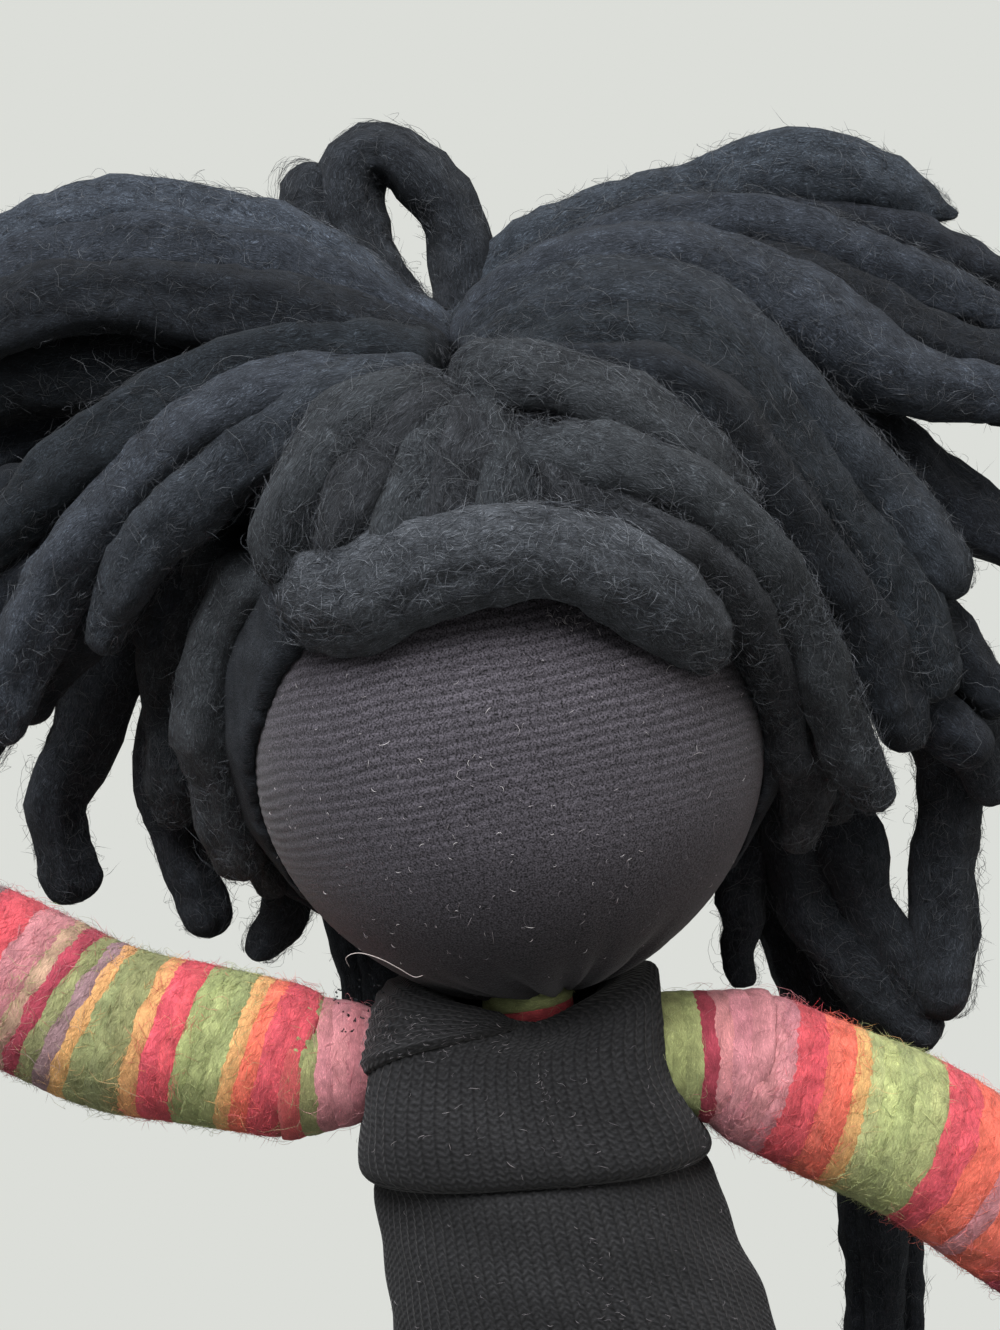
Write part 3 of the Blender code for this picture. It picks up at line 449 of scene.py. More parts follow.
def fibre_section(thickness):
    """The three-sided outline that a curve carries along each fibre."""
    outline = bpy.data.curves.new("fibre_section", "CURVE")
    ring = outline.splines.new("POLY")
    ring.points.add(2)
    for i, point in enumerate(ring.points):
        turn = -TURN * i / 3
        point.co = (thickness / 2 * math.cos(turn), thickness / 2 * math.sin(turn), 0, 1)
    ring.use_cyclic_u = True
    holder = bpy.data.objects.new("fibre_section", outline)
    bpy.context.scene.collection.objects.link(holder)
    return holder


def strands(name, paths, colours, thickness):
    """Fine fibres, one for each row of points, as one mesh with a colour for each fibre.

    A curve drops points that lie on each other, so a fibre with such points is left out.
    """
    steps = np.abs(np.diff(paths, axis=1)).max(axis=2).min(axis=1)
    paths, colours = paths[steps > LEAST_STEP], colours[steps > LEAST_STEP]
    count, size = paths.shape[:2]
    curve = bpy.data.curves.new(name, "CURVE")
    curve.dimensions = "3D"
    section = fibre_section(thickness)
    curve.bevel_mode = "OBJECT"
    curve.bevel_object = section
    taper = np.sin(np.linspace(0, math.pi, size)) ** 0.35
    taper[[0, -1]] = 0
    flat = np.concatenate([paths, np.ones((count, size, 1))], axis=2).reshape(count, -1)
    for row in flat:
        spline = curve.splines.new("POLY")
        spline.points.add(size - 1)
        spline.points.foreach_set("co", row)
        spline.points.foreach_set("radius", taper)
    holder = bpy.data.objects.new(name, curve)
    bpy.context.scene.collection.objects.link(holder)
    graph = bpy.context.evaluated_depsgraph_get()
    mesh = bpy.data.meshes.new_from_object(holder.evaluated_get(graph))
    bpy.data.objects.remove(holder)
    bpy.data.curves.remove(curve)
    bpy.data.objects.remove(section)
    each = len(mesh.vertices) // count
    keep_values(mesh, "lay", "FLOAT_VECTOR", np.zeros((len(mesh.vertices), 3)))
    keep_values(mesh, "colour", "FLOAT_COLOR", np.repeat(colours, each, axis=0))
    merge(mesh, turn_out=False)
    mesh.materials.clear()
    mesh.shade_smooth()
    made = bpy.data.objects.new(name, mesh)
    bpy.context.scene.collection.objects.link(made)
    return made


def kept_on(route, distance):
    """Distances that would pass a route's ends, turned back there."""
    return np.clip(route.length - np.abs(route.length - np.abs(distance)), 0, route.length)


def pick_colours(codes, count, spread=0.12):
    """A colour for each fibre, drawn from a few and varied in strength."""
    chosen = np.array([linear(code) for code in codes])[luck.integers(0, len(codes), count)]
    chosen[:, :3] *= 1 + luck.normal(0, spread, (count, 1))
    return np.clip(chosen, 0, 1)


# %% [markdown]
# Hair wool is combed roving, felted by handling. It has no twist: the fibres lie along the lock
# in loose bundles and many stand off it. It drinks light, so its colour is a blue black, its
# roughness is near one, and a weak sheen gives the soft pale edge that wool has against the light.
# The streaks are 0.24 mm wide and seven times as long, a little coarser than real ones, and a
# second noise bends the place that they read, so that the fibres cross each other as felted ones
# do. The counts of tangles and of felted patches are for one metre of wool.

# %% Wool materials
STREAK = 0.24 * MM
STREAK_STRETCH = 7
TANGLE_COUNT = 240.0
TANGLE_REACH = 3.2 * MM
FELT_COUNT = 330.0


def wool_material(name, depth, sheen, contrast, single):
    """Felted wool. The point's own colour is streaked along the lay of the fibres."""
    made, tree, output = new_material(name)
    colour = add(tree, "Attribute", attribute_name="colour")
    lay = add(tree, "Attribute", attribute_name="lay")
    tangle = add(tree, "TexNoise", {"Vector": lay.outputs["Vector"], "Scale": TANGLE_COUNT,
                                    "Detail": 2.0})
    bent = add(tree, "VectorMath", {0: tangle.outputs["Color"], 1: (TANGLE_REACH,) * 3,
                                    2: lay.outputs["Vector"]}, operation="MULTIPLY_ADD")
    scaled = add(tree, "Mapping", {"Vector": bent.outputs[0],
                                   "Scale": (1 / (STREAK * STREAK_STRETCH), 1 / STREAK, 1 / STREAK)})
    streaks = add(tree, "TexNoise", {"Vector": scaled.outputs[0], "Scale": 1.0, "Detail": 4.0,
                                     "Roughness": 0.75, "Distortion": 0.6})
    fine = add(tree, "TexNoise", {"Vector": scaled.outputs[0], "Scale": 1.9, "Detail": 1.0,
                                  "Distortion": 1.4})
    felt = add(tree, "TexNoise", {"Vector": lay.outputs["Vector"], "Scale": FELT_COUNT, "Detail": 3.0})
    light = add(tree, "MapRange", {0: streaks.outputs[0], 1: 0.3, 2: 0.7,
                                   3: 1 - contrast, 4: 1 + contrast})
    pale = add(tree, "MapRange", {0: fine.outputs[0], 1: 0.56, 2: 0.68, 3: 1.0, 4: 1 + single})
    patch = add(tree, "MapRange", {0: felt.outputs[0], 1: 0.3, 2: 0.7, 3: 0.72, 4: 1.3})
    strength = light
    for other in (pale, patch):
        strength = add(tree, "Math", {0: strength.outputs[0], 1: other.outputs[0]}, operation="MULTIPLY")
    shaded = add(tree, "VectorMath", {0: colour.outputs["Color"], "Scale": strength.outputs[0]},
                 operation="SCALE")
    bump = add(tree, "Bump", {"Height": streaks.outputs[0], "Distance": depth, "Strength": 0.9})
    shader = add(tree, "BsdfPrincipled", {"Base Color": shaded.outputs[0], "Roughness": 0.94,
                                          "Specular IOR Level": 0.10, "Sheen Weight": sheen,
                                          "Sheen Roughness": 0.45, "Normal": bump.outputs[0]})
    finish_material(tree, output, shader)
    return made


def fibre_material(name, sheen):
    """Single wool fibres in their own colours."""
    made, tree, output = new_material(name)
    colour = add(tree, "Attribute", attribute_name="colour")
    shader = add(tree, "BsdfPrincipled", {"Base Color": colour.outputs["Color"], "Roughness": 0.75,
                                          "Specular IOR Level": 0.25, "Sheen Weight": sheen,
                                          "Sheen Roughness": 0.4})
    finish_material(tree, output, shader)
    return made


hair_wool = wool_material("black_roving", 0.45 * MM, sheen=0.03, contrast=0.70, single=1.6)
hair_fibre = fibre_material("black_wool_fibre", sheen=0.05)
yarn_wool = wool_material("dyed_single_yarn", 0.30 * MM, sheen=0.08, contrast=0.22, single=0.45)
yarn_fibre = fibre_material("dyed_wool_fibre", sheen=0.05)
print("streaks, mm:", round(STREAK / MM, 2), "by", round(STREAK * STREAK_STRETCH / MM, 2))

# %% [markdown]
# A lock is a skin on a route. Its radius swells and shrinks a little, bundles of roving give it
# shallow grooves that wander round it, and both ends are rounded. Then it gets its fibres: short
# ones that hug it at an angle, and a few long curly ones that stand away.

# %% Locks of roving
HAIR_BASE = "24272b"
HAIR_FIBRES = ("16181c", "22252a", "2d3034", "3b3e42", "505357")
HAIR_STRAYS = ("2a2d31", "3c3f43", "5a5d60")
BUNDLES = ((2, 0.100), (3, 0.070), (5, 0.050), (9, 0.032), (14, 0.018))
LUMPS = ((110.0, 1.20), (300.0, 0.60))
LOCK_DRIFT = 0.5 * MM
LOCK_SWELL = 0.08
LOCK_TWIST = 25
LOCK_SIDES = 26
LOCK_STEP = 1.3 * MM
LEAST_ROWS = 16


def lock_route(points, width, tip, taper):
    """The route of one lock: full to the end, or thinner towards its tip."""
    line = smooth_path(points)
    share = np.linspace(0, 1, len(line))
    drift = luck.uniform(0, TURN, (3, 1)), luck.uniform(2.0, 5.0, (3, 1))
    sway = np.sin(drift[0] + drift[1] * share * math.pi)
    line = line + (LOCK_DRIFT * sway * np.sin(share * math.pi)).T
    waves = np.sin(share * TURN * luck.uniform(1.2, 2.2) + luck.uniform(0, TURN))
    radii = width / 2 * MM * (1 - (1 - tip) * share ** taper) * (1 + LOCK_SWELL * waves)
    return Route(line, radii)


def lock_skin(name, route, code):
    """The felted body of a lock."""
    phases = luck.uniform(0, TURN, (len(BUNDLES), 3))
    twist = luck.uniform(-1, 1) * LOCK_TWIST

    def place(around, along):
        distance = route.length * (along - 0.13 * np.sin(TURN * along))
        angle = around * TURN
        relief = np.ones_like(distance)
        for (number, depth), (first, second, third) in zip(BUNDLES, phases):
            wander = 0.7 * np.sin(distance * 90 + second) + 0.4 * np.sin(distance * 210 + third)
            relief += depth * np.cos(number * angle + twist * distance + first + wander)
        reach = route.domed(distance) * relief
        points, lay = on_route(route, distance, angle, reach)
        for fineness, height in LUMPS:
            lumps = np.array([noise.noise(Vector(point) * fineness) for point in points])
            reach = reach + height * MM * lumps * np.clip(reach / MM, 0, 1)
        points, lay = on_route(route, distance, angle, reach)
        return points, lay, linear(code)

    rows = max(LEAST_ROWS, int(route.length / LOCK_STEP))
    made = skin(name, LOCK_SIDES, rows, place)
    made.data.materials.append(hair_wool)
    return made


# %% The fibres of a lock
HUGGING_LENGTHS = (1.8, 4.5)
HUGGING_LIFT = 0.55 * MM
STRAY_LENGTH = 6.5
STRAY_LIFT = 2.2 * MM
STRAY_POINTS = 7


def hugging_fibres(name, route, density, painted_shading_factor, lean):
    """Fibres that lie on a round surface and rise a little from it."""
    area = TURN * float(np.mean(route.radii)) * route.length / MM ** 2
    count = max(12, int(area * density))
    first = luck.uniform(0.02, 0.99, count) * route.length
    angle = luck.uniform(0, TURN, count)
    length = luck.uniform(*HUGGING_LENGTHS, count) * MM
    turn = luck.normal(0, lean, count) + math.pi * luck.integers(0, 2, count)
    rise = HUGGING_LIFT * luck.exponential(1, count)
    bend = luck.normal(0, 0.8, count)
    share = np.linspace(0, 1, 3)
    way = turn[:, None] + bend[:, None] * share
    distance = first[:, None] + length[:, None] * share * np.cos(way)
    distance = kept_on(route, distance)
    radius = route.domed(distance, 0.8)
    round_by = length[:, None] * share * np.sin(way) / np.maximum(route.radius(distance), MM)
    reach = radius * 0.97 + rise[:, None] * share ** 1.5 + 0.05 * MM
    paths = route.at(distance, angle[:, None] + round_by, reach)
    return strands(name, paths, pick_colours(HAIR_FIBRES, count) * painted_shading_factor, HUGGING_THICK)


def stray_fibres(name, route, count):
    """Long curly fibres that stand away from a lock."""
    share = np.linspace(0, 1, STRAY_POINTS)
    first = luck.uniform(0.05, 0.95, count) * route.length
    angle = luck.uniform(0, TURN, count)
    size = luck.uniform(0.5, 1.3, count) * STRAY_LENGTH * MM
    way = luck.uniform(0, TURN, count)[:, None]
    way = way + np.cumsum(luck.normal(0, 0.6, (count, STRAY_POINTS)), axis=1)
    step = size[:, None] / (STRAY_POINTS - 1)
    distance = kept_on(route, first[:, None] + np.cumsum(np.cos(way), axis=1) * step)
    round_by = np.cumsum(np.sin(way), axis=1) * step / np.maximum(route.radius(distance), MM)
    rise = STRAY_LIFT * luck.uniform(0.2, 1, count)
    reach = route.domed(distance) + rise[:, None] * np.sin(share * math.pi * 0.8)
    paths = route.at(distance, angle[:, None] + round_by, reach)
    return strands(name, paths, pick_colours(HAIR_STRAYS, count), STRAY_THICK)


def lock(name, points, width, tip=0.5, taper=3, density=0.85, lean=0.7, code=HAIR_BASE, strays=90):
    """One finished lock of roving: its body, its hugging fibres and its stray ones."""
    route = lock_route(points, width, tip, taper)
    body = lock_skin(name, route, code)
    # The fibres take the painted light or shade of the lock's code, as a share of the base colour.
    painted_shading_factor = (linear(code)[1] / linear(HAIR_BASE)[1]) ** 0.8
    fuzz = hugging_fibres(name + "_fuzz", route, density, painted_shading_factor, lean)
    loose = stray_fibres(name + "_strays", route, strays)
    for piece in (fuzz, loose):
        piece.data.materials.append(hair_fibre)
    return [body, fuzz, loose]


def pictured(route):
    """Points of the doll for a list of (pixel x, pixel y, depth in millimetres)."""
    return [from_picture(*point) for point in route]


def pictured_locks(locks):
    """Locks whose routes were chosen in the picture, as locks on the doll."""
    return [(pictured(route), *sizes) for route, *sizes in locks]


def hair_piece(name, body, nodes, locks, codes=(HAIR_BASE,), **style):
    """Several locks that leave the head together, as one piece. The codes, which paint light and shade onto
    the locks, go round its locks.
    """
    parts = []
    for i, (points, width, *more) in enumerate(locks):
        parts += lock(f"{name}_{i}", points, width, *more, code=codes[i % len(codes)], **style)
    piece = combine(name, parts)
    if isinstance(body, str):
        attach(piece, body)
    else:
        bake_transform(piece)
    if nodes:
        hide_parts(*nodes)
    print(name, len(locks), "locks,", len(piece.data.polygons), "faces")
    return piece


# %% [markdown]
# The two big bunches leave the parting on the crown and arch out to the left and the right. Their
# front locks follow the picture, top to bottom. Behind each front lock lies another, a lock's
# width deeper, because a real bunch is as thick from front to back as it is seen from the front.

# %% The left bunch
LEFT_FRONT = (
    ([(448, 372, 4), (420, 346, 5), (382, 315, 5), (338, 278, 6), (288, 242, 8), (228, 218, 9),
      (150, 210, 10), (75, 222, 10), (5, 250, 10), (-50, 280, 9), (-88, 308, 8)], 11.8),
    ([(446, 384, -2), (412, 362, -3), (360, 328, -4), (300, 290, -4), (235, 264, -3), (150, 256, -2),
      (70, 272, 0), (5, 288, 1), (-50, 322, 2), (-80, 356, 2)], 12.2),
    ([(442, 392, -6), (400, 368, -8), (335, 340, -9), (262, 316, -9), (185, 304, -8), (110, 302, -6),
      (40, 310, -5), (-20, 332, -4), (-70, 366, -3)], 12.4),
    ([(440, 398, -5), (385, 378, -4), (310, 358, -2), (235, 356, -1), (165, 362, 0),
      (100, 370, 1), (40, 380, 2), (-20, 400, 2), (-65, 430, 2)], 13.6),
    ([(436, 388, -11), (375, 368, -15), (300, 366, -17), (230, 380, -17), (165, 408, -15),
      (105, 446, -13), (50, 490, -11), (0, 534, -9), (-45, 580, -8)], 12.2),
    ([(432, 394, -12), (370, 384, -17), (300, 394, -20), (235, 420, -20), (175, 460, -18),
      (120, 510, -15), (72, 566, -12), (35, 628, -9), (10, 696, -7), (-4, 745, -6)], 12.2),
    ([(428, 400, -13), (370, 398, -19), (310, 414, -22), (252, 448, -22), (200, 492, -20),
      (152, 548, -16), (118, 604, -12), (98, 652, -9)], 11.6, 0.35, 4),
)
# Painted light and shade: each front lock's colour is paler where it looks lit and darker where it looks
# shaded, the third and fourth darkest, as if in the shade of the locks above.
LEFT_PAINTED_SHADING = ("343940", "282c32", "1a1d21", "111417", "1e2226", "30343a", "2d3136")
LEFT_DEEP = (
    ([(425, 356, 14), (362, 318, 17), (285, 268, 18), (190, 250, 18), (95, 262, 18), (20, 288, 17),
      (-45, 322, 16)], 11.0),
    ([(400, 372, 10), (320, 335, 10), (230, 318, 9), (150, 345, 8), (70, 400, 8), (0, 450, 8),
      (-50, 495, 8)], 13.0),
    ([(360, 400, 6), (280, 400, 5), (210, 430, 6), (140, 480, 8), (75, 540, 9), (20, 595, 9),
      (-35, 645, 9)], 13.0),
    ([(350, 420, 2), (270, 440, -2), (205, 480, -4), (145, 540, -4), (95, 605, -2), (50, 665, 0),
      (20, 722, 2)], 12.5),
    ([(330, 440, 2), (262, 478, 0), (212, 530, 0), (172, 590, 1), (145, 655, 3)], 12.5),
    ([(40, 470, 4), (-5, 540, 6), (-35, 610, 8), (-52, 680, 8)], 11.5),
)
# Painted shade: the locks deep inside each bunch are painted darker than the hair's base colour.
DEEP_PAINTED_SHADE = ("202328", "191c20")
hair_piece("left_bunch_wool", "head", ["hair_bunch_left"], pictured_locks(LEFT_FRONT), LEFT_PAINTED_SHADING)
hair_piece("left_bunch_deep_wool", "head", ["hair_bunch_left"], pictured_locks(LEFT_DEEP), DEEP_PAINTED_SHADE,
           density=0.35)

# %% [markdown]
# The right bunch is made in the same way. Its locks first rise from the crown and then fall away
# to the right, one under another, and the top one is the palest, because it faces the light. A
# plain solid behind them would close the gaps between them, but it would show as one from the
# side, so more locks fill the depth here too.

# %% The right bunch
RIGHT_FRONT = (
    ([(470, 362, 10), (492, 310, 12), (535, 264, 13), (605, 228, 14), (685, 197, 15), (765, 168, 15),
      (835, 172, 15), (895, 192, 15), (958, 216, 14)], 12.4, 0.12, 7),
    ([(472, 368, 4), (500, 318, 4), (560, 270, 4), (640, 238, 4), (720, 228, 4), (800, 238, 4),
      (875, 268, 5), (940, 296, 5), (1000, 320, 6), (1040, 344, 6)], 12.8),
    ([(600, 300, 2), (690, 276, 0), (780, 284, 0), (865, 322, 1), (935, 352, 2), (1000, 366, 3),
      (1040, 374, 4)], 13.4),
    ([(474, 374, -4), (508, 326, -5), (575, 288, -7), (655, 268, -8), (730, 276, -8), (800, 318, -7),
      (858, 362, -6), (915, 386, -5), (975, 392, -4), (1032, 396, -3)], 13.2),
    ([(476, 380, -8), (515, 342, -10), (585, 314, -13), (660, 308, -14), (725, 338, -13),
      (782, 388, -11), (836, 440, -9), (886, 492, -7), (930, 545, -6), (962, 596, -5)], 13.6),
    ([(478, 386, -11), (525, 360, -14), (598, 345, -17), (668, 354, -18), (728, 396, -16),
      (785, 454, -13), (836, 512, -10), (882, 572, -8), (916, 636, -6), (944, 700, -5)], 13.4),
    ([(480, 390, -13), (540, 382, -18), (610, 385, -22), (675, 405, -23), (735, 450, -21),
      (790, 512, -17), (836, 578, -12), (874, 642, -8), (898, 702, -5), (908, 752, -4)], 12.2),
)
# Painted light and shade: the top lock is painted palest, as lit, and the locks lying under others darker,
# as shaded.
RIGHT_PAINTED_SHADING = ("2f343a", "282c32", "181b1f", "2b2f35", "282c31", "212529", "1d2024")
RIGHT_DEEP = (
    ([(500, 320, 18), (570, 270, 19), (660, 236, 19), (760, 222, 18), (860, 236, 17),
      (950, 262, 16), (1015, 284, 15)], 12.6),
    ([(700, 290, 12), (790, 305, 12), (870, 345, 12), (940, 372, 12), (1000, 388, 12),
      (1040, 396, 11)], 12.5),
    ([(640, 320, 6), (720, 340, 6), (790, 385, 8), (850, 430, 9), (905, 472, 10), (955, 506, 10),
      (1005, 536, 10), (1045, 566, 10)], 12.8),
    ([(560, 380, 2), (650, 370, -4), (730, 415, -6), (800, 478, -5), (860, 546, -3), (915, 610, -1),
      (965, 665, 0), (1010, 712, 0)], 12.5),
    ([(620, 410, -4), (700, 445, -8), (765, 508, -8), (825, 578, -5), (875, 648, -2), (930, 712, 0),
      (985, 762, 1)], 12.0),
)
hair_piece("right_bunch_wool", "head", ["hair_bunch_right"], pictured_locks(RIGHT_FRONT), RIGHT_PAINTED_SHADING)
hair_piece("right_bunch_deep_wool", "head", ["hair_bunch_right"], pictured_locks(RIGHT_DEEP),
           DEEP_PAINTED_SHADE, density=0.35)

# %% [markdown]
# Between the bunches stands a topknot: one lock that goes up, turns over and comes down again, so
# that the backdrop shows through its loop, and the blunt tip of another beside it.

# %% The topknot
TOPKNOT = (
    ([(472, 345, 12), (467, 290, 12), (457, 234, 12), (436, 188, 12), (402, 157, 12), (362, 160, 12),
      (346, 196, 12), (362, 244, 12), (396, 294, 12), (430, 332, 12)], 9.4, 0.85),
    ([(436, 352, 13), (392, 312, 13), (348, 274, 13), (318, 234, 13), (306, 196, 13),
      (322, 166, 13)], 9.8, 0.9),
)
hair_piece("topknot_wool", "head", ["topknot_loop"], pictured_locks(TOPKNOT))

# %% [markdown]
# Over the forehead the wool is nearest and sharpest in the picture. Short locks fan down from the
# parting, one lock lies along the hairline like a brow band, and two more sweep to the right.
# Handling has roughed them up, so they carry more fibres, which lie at all angles.

# %% The crown and the fringe
CROWN = {
    "crown_lock_left": (
        ([(446, 396, -22), (396, 408, -26), (342, 442, -29), (304, 496, -30), (286, 552, -28),
          (284, 590, -26)], 11.4),
        ([(455, 402, -24), (414, 428, -29), (372, 472, -32), (346, 530, -33), (336, 585, -32)], 11.4)),
    "crown_lock_middle": (
        ([(464, 402, -24), (438, 440, -30), (414, 492, -33), (398, 550, -34), (392, 585, -33)], 11.0),
        ([(474, 405, -25), (466, 452, -31), (456, 502, -34), (450, 550, -34), (446, 580, -33)], 10.6),
        ([(482, 405, -25), (500, 450, -31), (508, 500, -34), (510, 545, -34), (510, 575, -33)], 10.6),
        ([(490, 412, -25), (535, 448, -30), (562, 495, -33), (574, 540, -33), (580, 570, -32)], 10.6)),
    "crown_lock_top": (
        ([(456, 392, -22), (494, 380, -27), (545, 382, -30), (600, 400, -31), (655, 430, -30),
          (710, 464, -27), (752, 504, -22)], 10.2, 0.7),),
    "crown_lock_right": (
        ([(505, 450, -27), (560, 456, -31), (628, 470, -33), (695, 504, -31), (752, 560, -27),
          (800, 632, -21), (836, 704, -14), (862, 770, -8), (880, 806, -4)], 11.2),
        ([(545, 500, -30), (600, 506, -33), (655, 526, -34), (708, 566, -30), (752, 628, -23),
          (778, 700, -14), (792, 775, -6)], 10.4)),
    "fringe_lock": (
        ([(298, 602, -20), (352, 590, -31), (425, 566, -36), (500, 552, -38),
          (565, 552, -38), (625, 574, -36), (678, 612, -31), (716, 664, -24)], 13.4, 0.45, 4),),
}
# Painted light: the crown and the fringe face the lamp, so their locks are painted paler than the hair's
# base colour, the fringe palest.
FRINGE_PAINTED_LIGHT = ("3f4246",)
CROWN_PAINTED_LIGHT = ("303336", "2a2c2f")
for node, locks in CROWN.items():
    hair_piece(node + "_wool", "head", [node], pictured_locks(locks),
               FRINGE_PAINTED_LIGHT if node == "fringe_lock" else CROWN_PAINTED_LIGHT, density=2.3, lean=0.9, strays=110)

# %% [markdown]
# At each side of the face a few locks fall from the hair's edge to the jaw and frame the jersey.
# They lie at different depths, so that they wrap the ball instead of standing in one flat row.

# %% The sides
SIDES = {
    "side_wrap_left": (
        ([(262, 556, -12), (230, 612, -9), (214, 680, -6), (210, 750, -3), (222, 820, 3),
          (248, 878, 10)], 10.4),
        ([(238, 530, -6), (198, 600, 2), (176, 680, 8), (168, 755, 10), (178, 828, 14)], 11.0),
        ([(292, 600, 0), (264, 650, 8), (246, 705, 12), (240, 770, 14), (250, 835, 16),
          (280, 895, 20)], 9.4)),
    "side_wrap_right": (
        ([(735, 540, -14), (774, 620, -9), (797, 700, -4), (804, 780, 2), (797, 850, 9)], 10.8),
        ([(770, 560, 0), (812, 650, 4), (832, 740, 8), (828, 825, 12)], 10.6)),
}
# Painted light and shade: the side locks are painted paler than the hair's base colour, as lit, and every
# second one darker, as shaded.
SIDE_PAINTED_SHADING = ("34373a", "292c2f")
for node, locks in SIDES.items():
    hair_piece(node + "_wool", "head", [node], pictured_locks(locks), SIDE_PAINTED_SHADING, density=1.2, lean=0.9,
               strays=70)

# %% [markdown]
# Locks that hang past the neck rest against the doll's back. They are baked in place where they
# are made, and no body carries them.

# %% The hanging locks
BEND_LOW = HEAD + np.array([0, 0, -0.035])
BEND_HIGH = HEAD + np.array([0, 0, 0.010])
HANGING = {
    "hanging_lock_left_1": (
        ([(165, 560, 14), (122, 640, 16), (86, 720, 18), (60, 790, 20), (62, 850, 21),
          (82, 902, 22)], 9.8, 0.8),
        ([(60, 560, 12), (26, 640, 14), (4, 705, 16), (-20, 770, 18)], 10.6)),
    "hanging_lock_left_2": (
        ([(218, 610, 20), (178, 690, 21), (164, 765, 21), (176, 830, 22), (200, 885, 22),
          (212, 938, 22)], 9.0, 0.8),),
    "hanging_lock_left_3": (
        ([(262, 790, 22), (286, 850, 24), (286, 905, 24), (252, 960, 24)], 8.4, 0.8),),
    "hanging_lock_right_1": (
        ([(752, 800, 22), (744, 870, 22), (737, 935, 22), (744, 988, 22)], 7.4, 0.4),),
    "hanging_lock_right_2": (
        ([(768, 720, 20), (783, 810, 20), (803, 890, 20), (842, 955, 19), (893, 1005, 18),
          (938, 1042, 17)], 9.4, 0.8),
        ([(812, 760, 20), (848, 840, 19), (868, 905, 18), (902, 962, 17), (938, 1018, 16)], 9.0, 0.7)),
    "hanging_lock_right_3": (
        ([(800, 480, 10), (862, 560, 10), (905, 640, 11), (935, 720, 13), (946, 800, 15), (946, 880, 16),
          (946, 950, 16), (940, 1020, 16)], 11.4, 0.8),
        ([(900, 620, 6), (945, 690, 7), (978, 750, 8), (998, 805, 9)], 9.6)),
}
for node, locks in HANGING.items():
    hair_piece(node + "_wool", ("neck", "head", BEND_LOW, BEND_HIGH), [node], pictured_locks(locks))

# %% [markdown]
# The picture doesn't show the back. Locks of the same wool run from the crown down over a mound
# of wound wool, side by side. Their places are turns about the mound. Three groups of long ones
# hang behind the shoulders, the right one to below the waist. Their places are shares of the
# head's radius from the middle of the head.

# %% The back of the head
RADIUS = 38.4 * MM
MOUND_MIDDLE = HEAD + np.array([0, 8.0, 8.0]) * MM
MOUND_RADIUS = 45.0 * MM
BACK_LOCKS = 17
BACK_SPREAD = 100
BACK_TOP = 84
BACK_WIDTH = 11.5
BACK_TRIO_SHARES = ((-0.09, 0.0, 0.02), (0.10, 0.03, -0.10), (0.0, -0.09, 0.06))
BACK = {
    "back_lock_left": [(-0.60, 0.98, 0.14), (-0.68, 1.20, -0.12), (-0.66, 1.24, -0.76),
                       (-0.56, 1.10, -1.48), (-0.44, 1.00, -2.20)],
    "back_lock_middle": [(0.04, 1.25, 0.10), (0.02, 1.28, -1.00), (-0.06, 1.10, -1.70),
                         (-0.02, 1.00, -2.30)],
    "back_lock_right": [(0.66, 0.96, 0.14), (0.88, 1.14, -0.16), (1.14, 1.12, -0.76),
                        (1.40, 0.98, -1.46), (1.47, 0.93, -2.10), (1.42, 0.93, -2.95)],
}


def over_mound(bearing, heights, reach):
    """Points on the mound at one bearing from the back, from one height angle down to another."""
    made = []
    for height in heights:
        turn, rise = math.radians(bearing + 8 * math.sin(height * 0.07 + bearing)), math.radians(height)
        way = np.array([math.sin(turn) * math.cos(rise), math.cos(turn) * math.cos(rise), math.sin(rise)])
        made.append(MOUND_MIDDLE + way * reach)
    return made


back_locks = []
for i in range(BACK_LOCKS):
    bearing = -BACK_SPREAD + 2 * BACK_SPREAD * i / (BACK_LOCKS - 1)
    low = -48 if abs(bearing) < 70 else -14
    reach = MOUND_RADIUS + luck.uniform(-0.5, 1.5) * MM
    back_locks.append((over_mound(bearing, np.linspace(BACK_TOP, low, 8), reach), BACK_WIDTH, 0.7))
hair_piece("back_of_head_wool", "head", [], back_locks, density=0.2, strays=12)

for node, shares in BACK.items():
    trio = []
    for across, deep, drop in BACK_TRIO_SHARES:
        points = [HEAD + (np.array(share) + (across, deep, drop * i / len(shares))) * RADIUS
                  for i, share in enumerate(shares)]
        trio.append((points, 9.4, 0.6))
    hair_piece(node + "_wool", ("neck", "head", BEND_LOW, BEND_HIGH), [node], trio, density=0.3,
               strays=26)

# %% [markdown]
# Under the locks the head has a low mound of wound wool. Its solid is in the frame already, but its
# faces are too large and uneven to carry wool. A voxel remesh turns a copy of it into one skin of
# small even faces, which takes the place of the solid.

# %% The mound under the locks
MOUND_GRAIN = 1.5 * MM


def surface_copy(name, node):
    """A merged copy of a solid of the frame."""
    mesh = frame["nodes"][node].data.copy()
    mesh.name = name
    mesh.materials.clear()
    made = bpy.data.objects.new(name, mesh)
    bpy.context.scene.collection.objects.link(made)
    merge(mesh, turn_out=False)
    return made


def applied(thing):
    """Turns an object's live modifiers into its mesh."""
    graph = bpy.context.evaluated_depsgraph_get()
    mesh = bpy.data.meshes.new_from_object(thing.evaluated_get(graph))
    thing.modifiers.clear()
    thing.data = mesh
    return thing


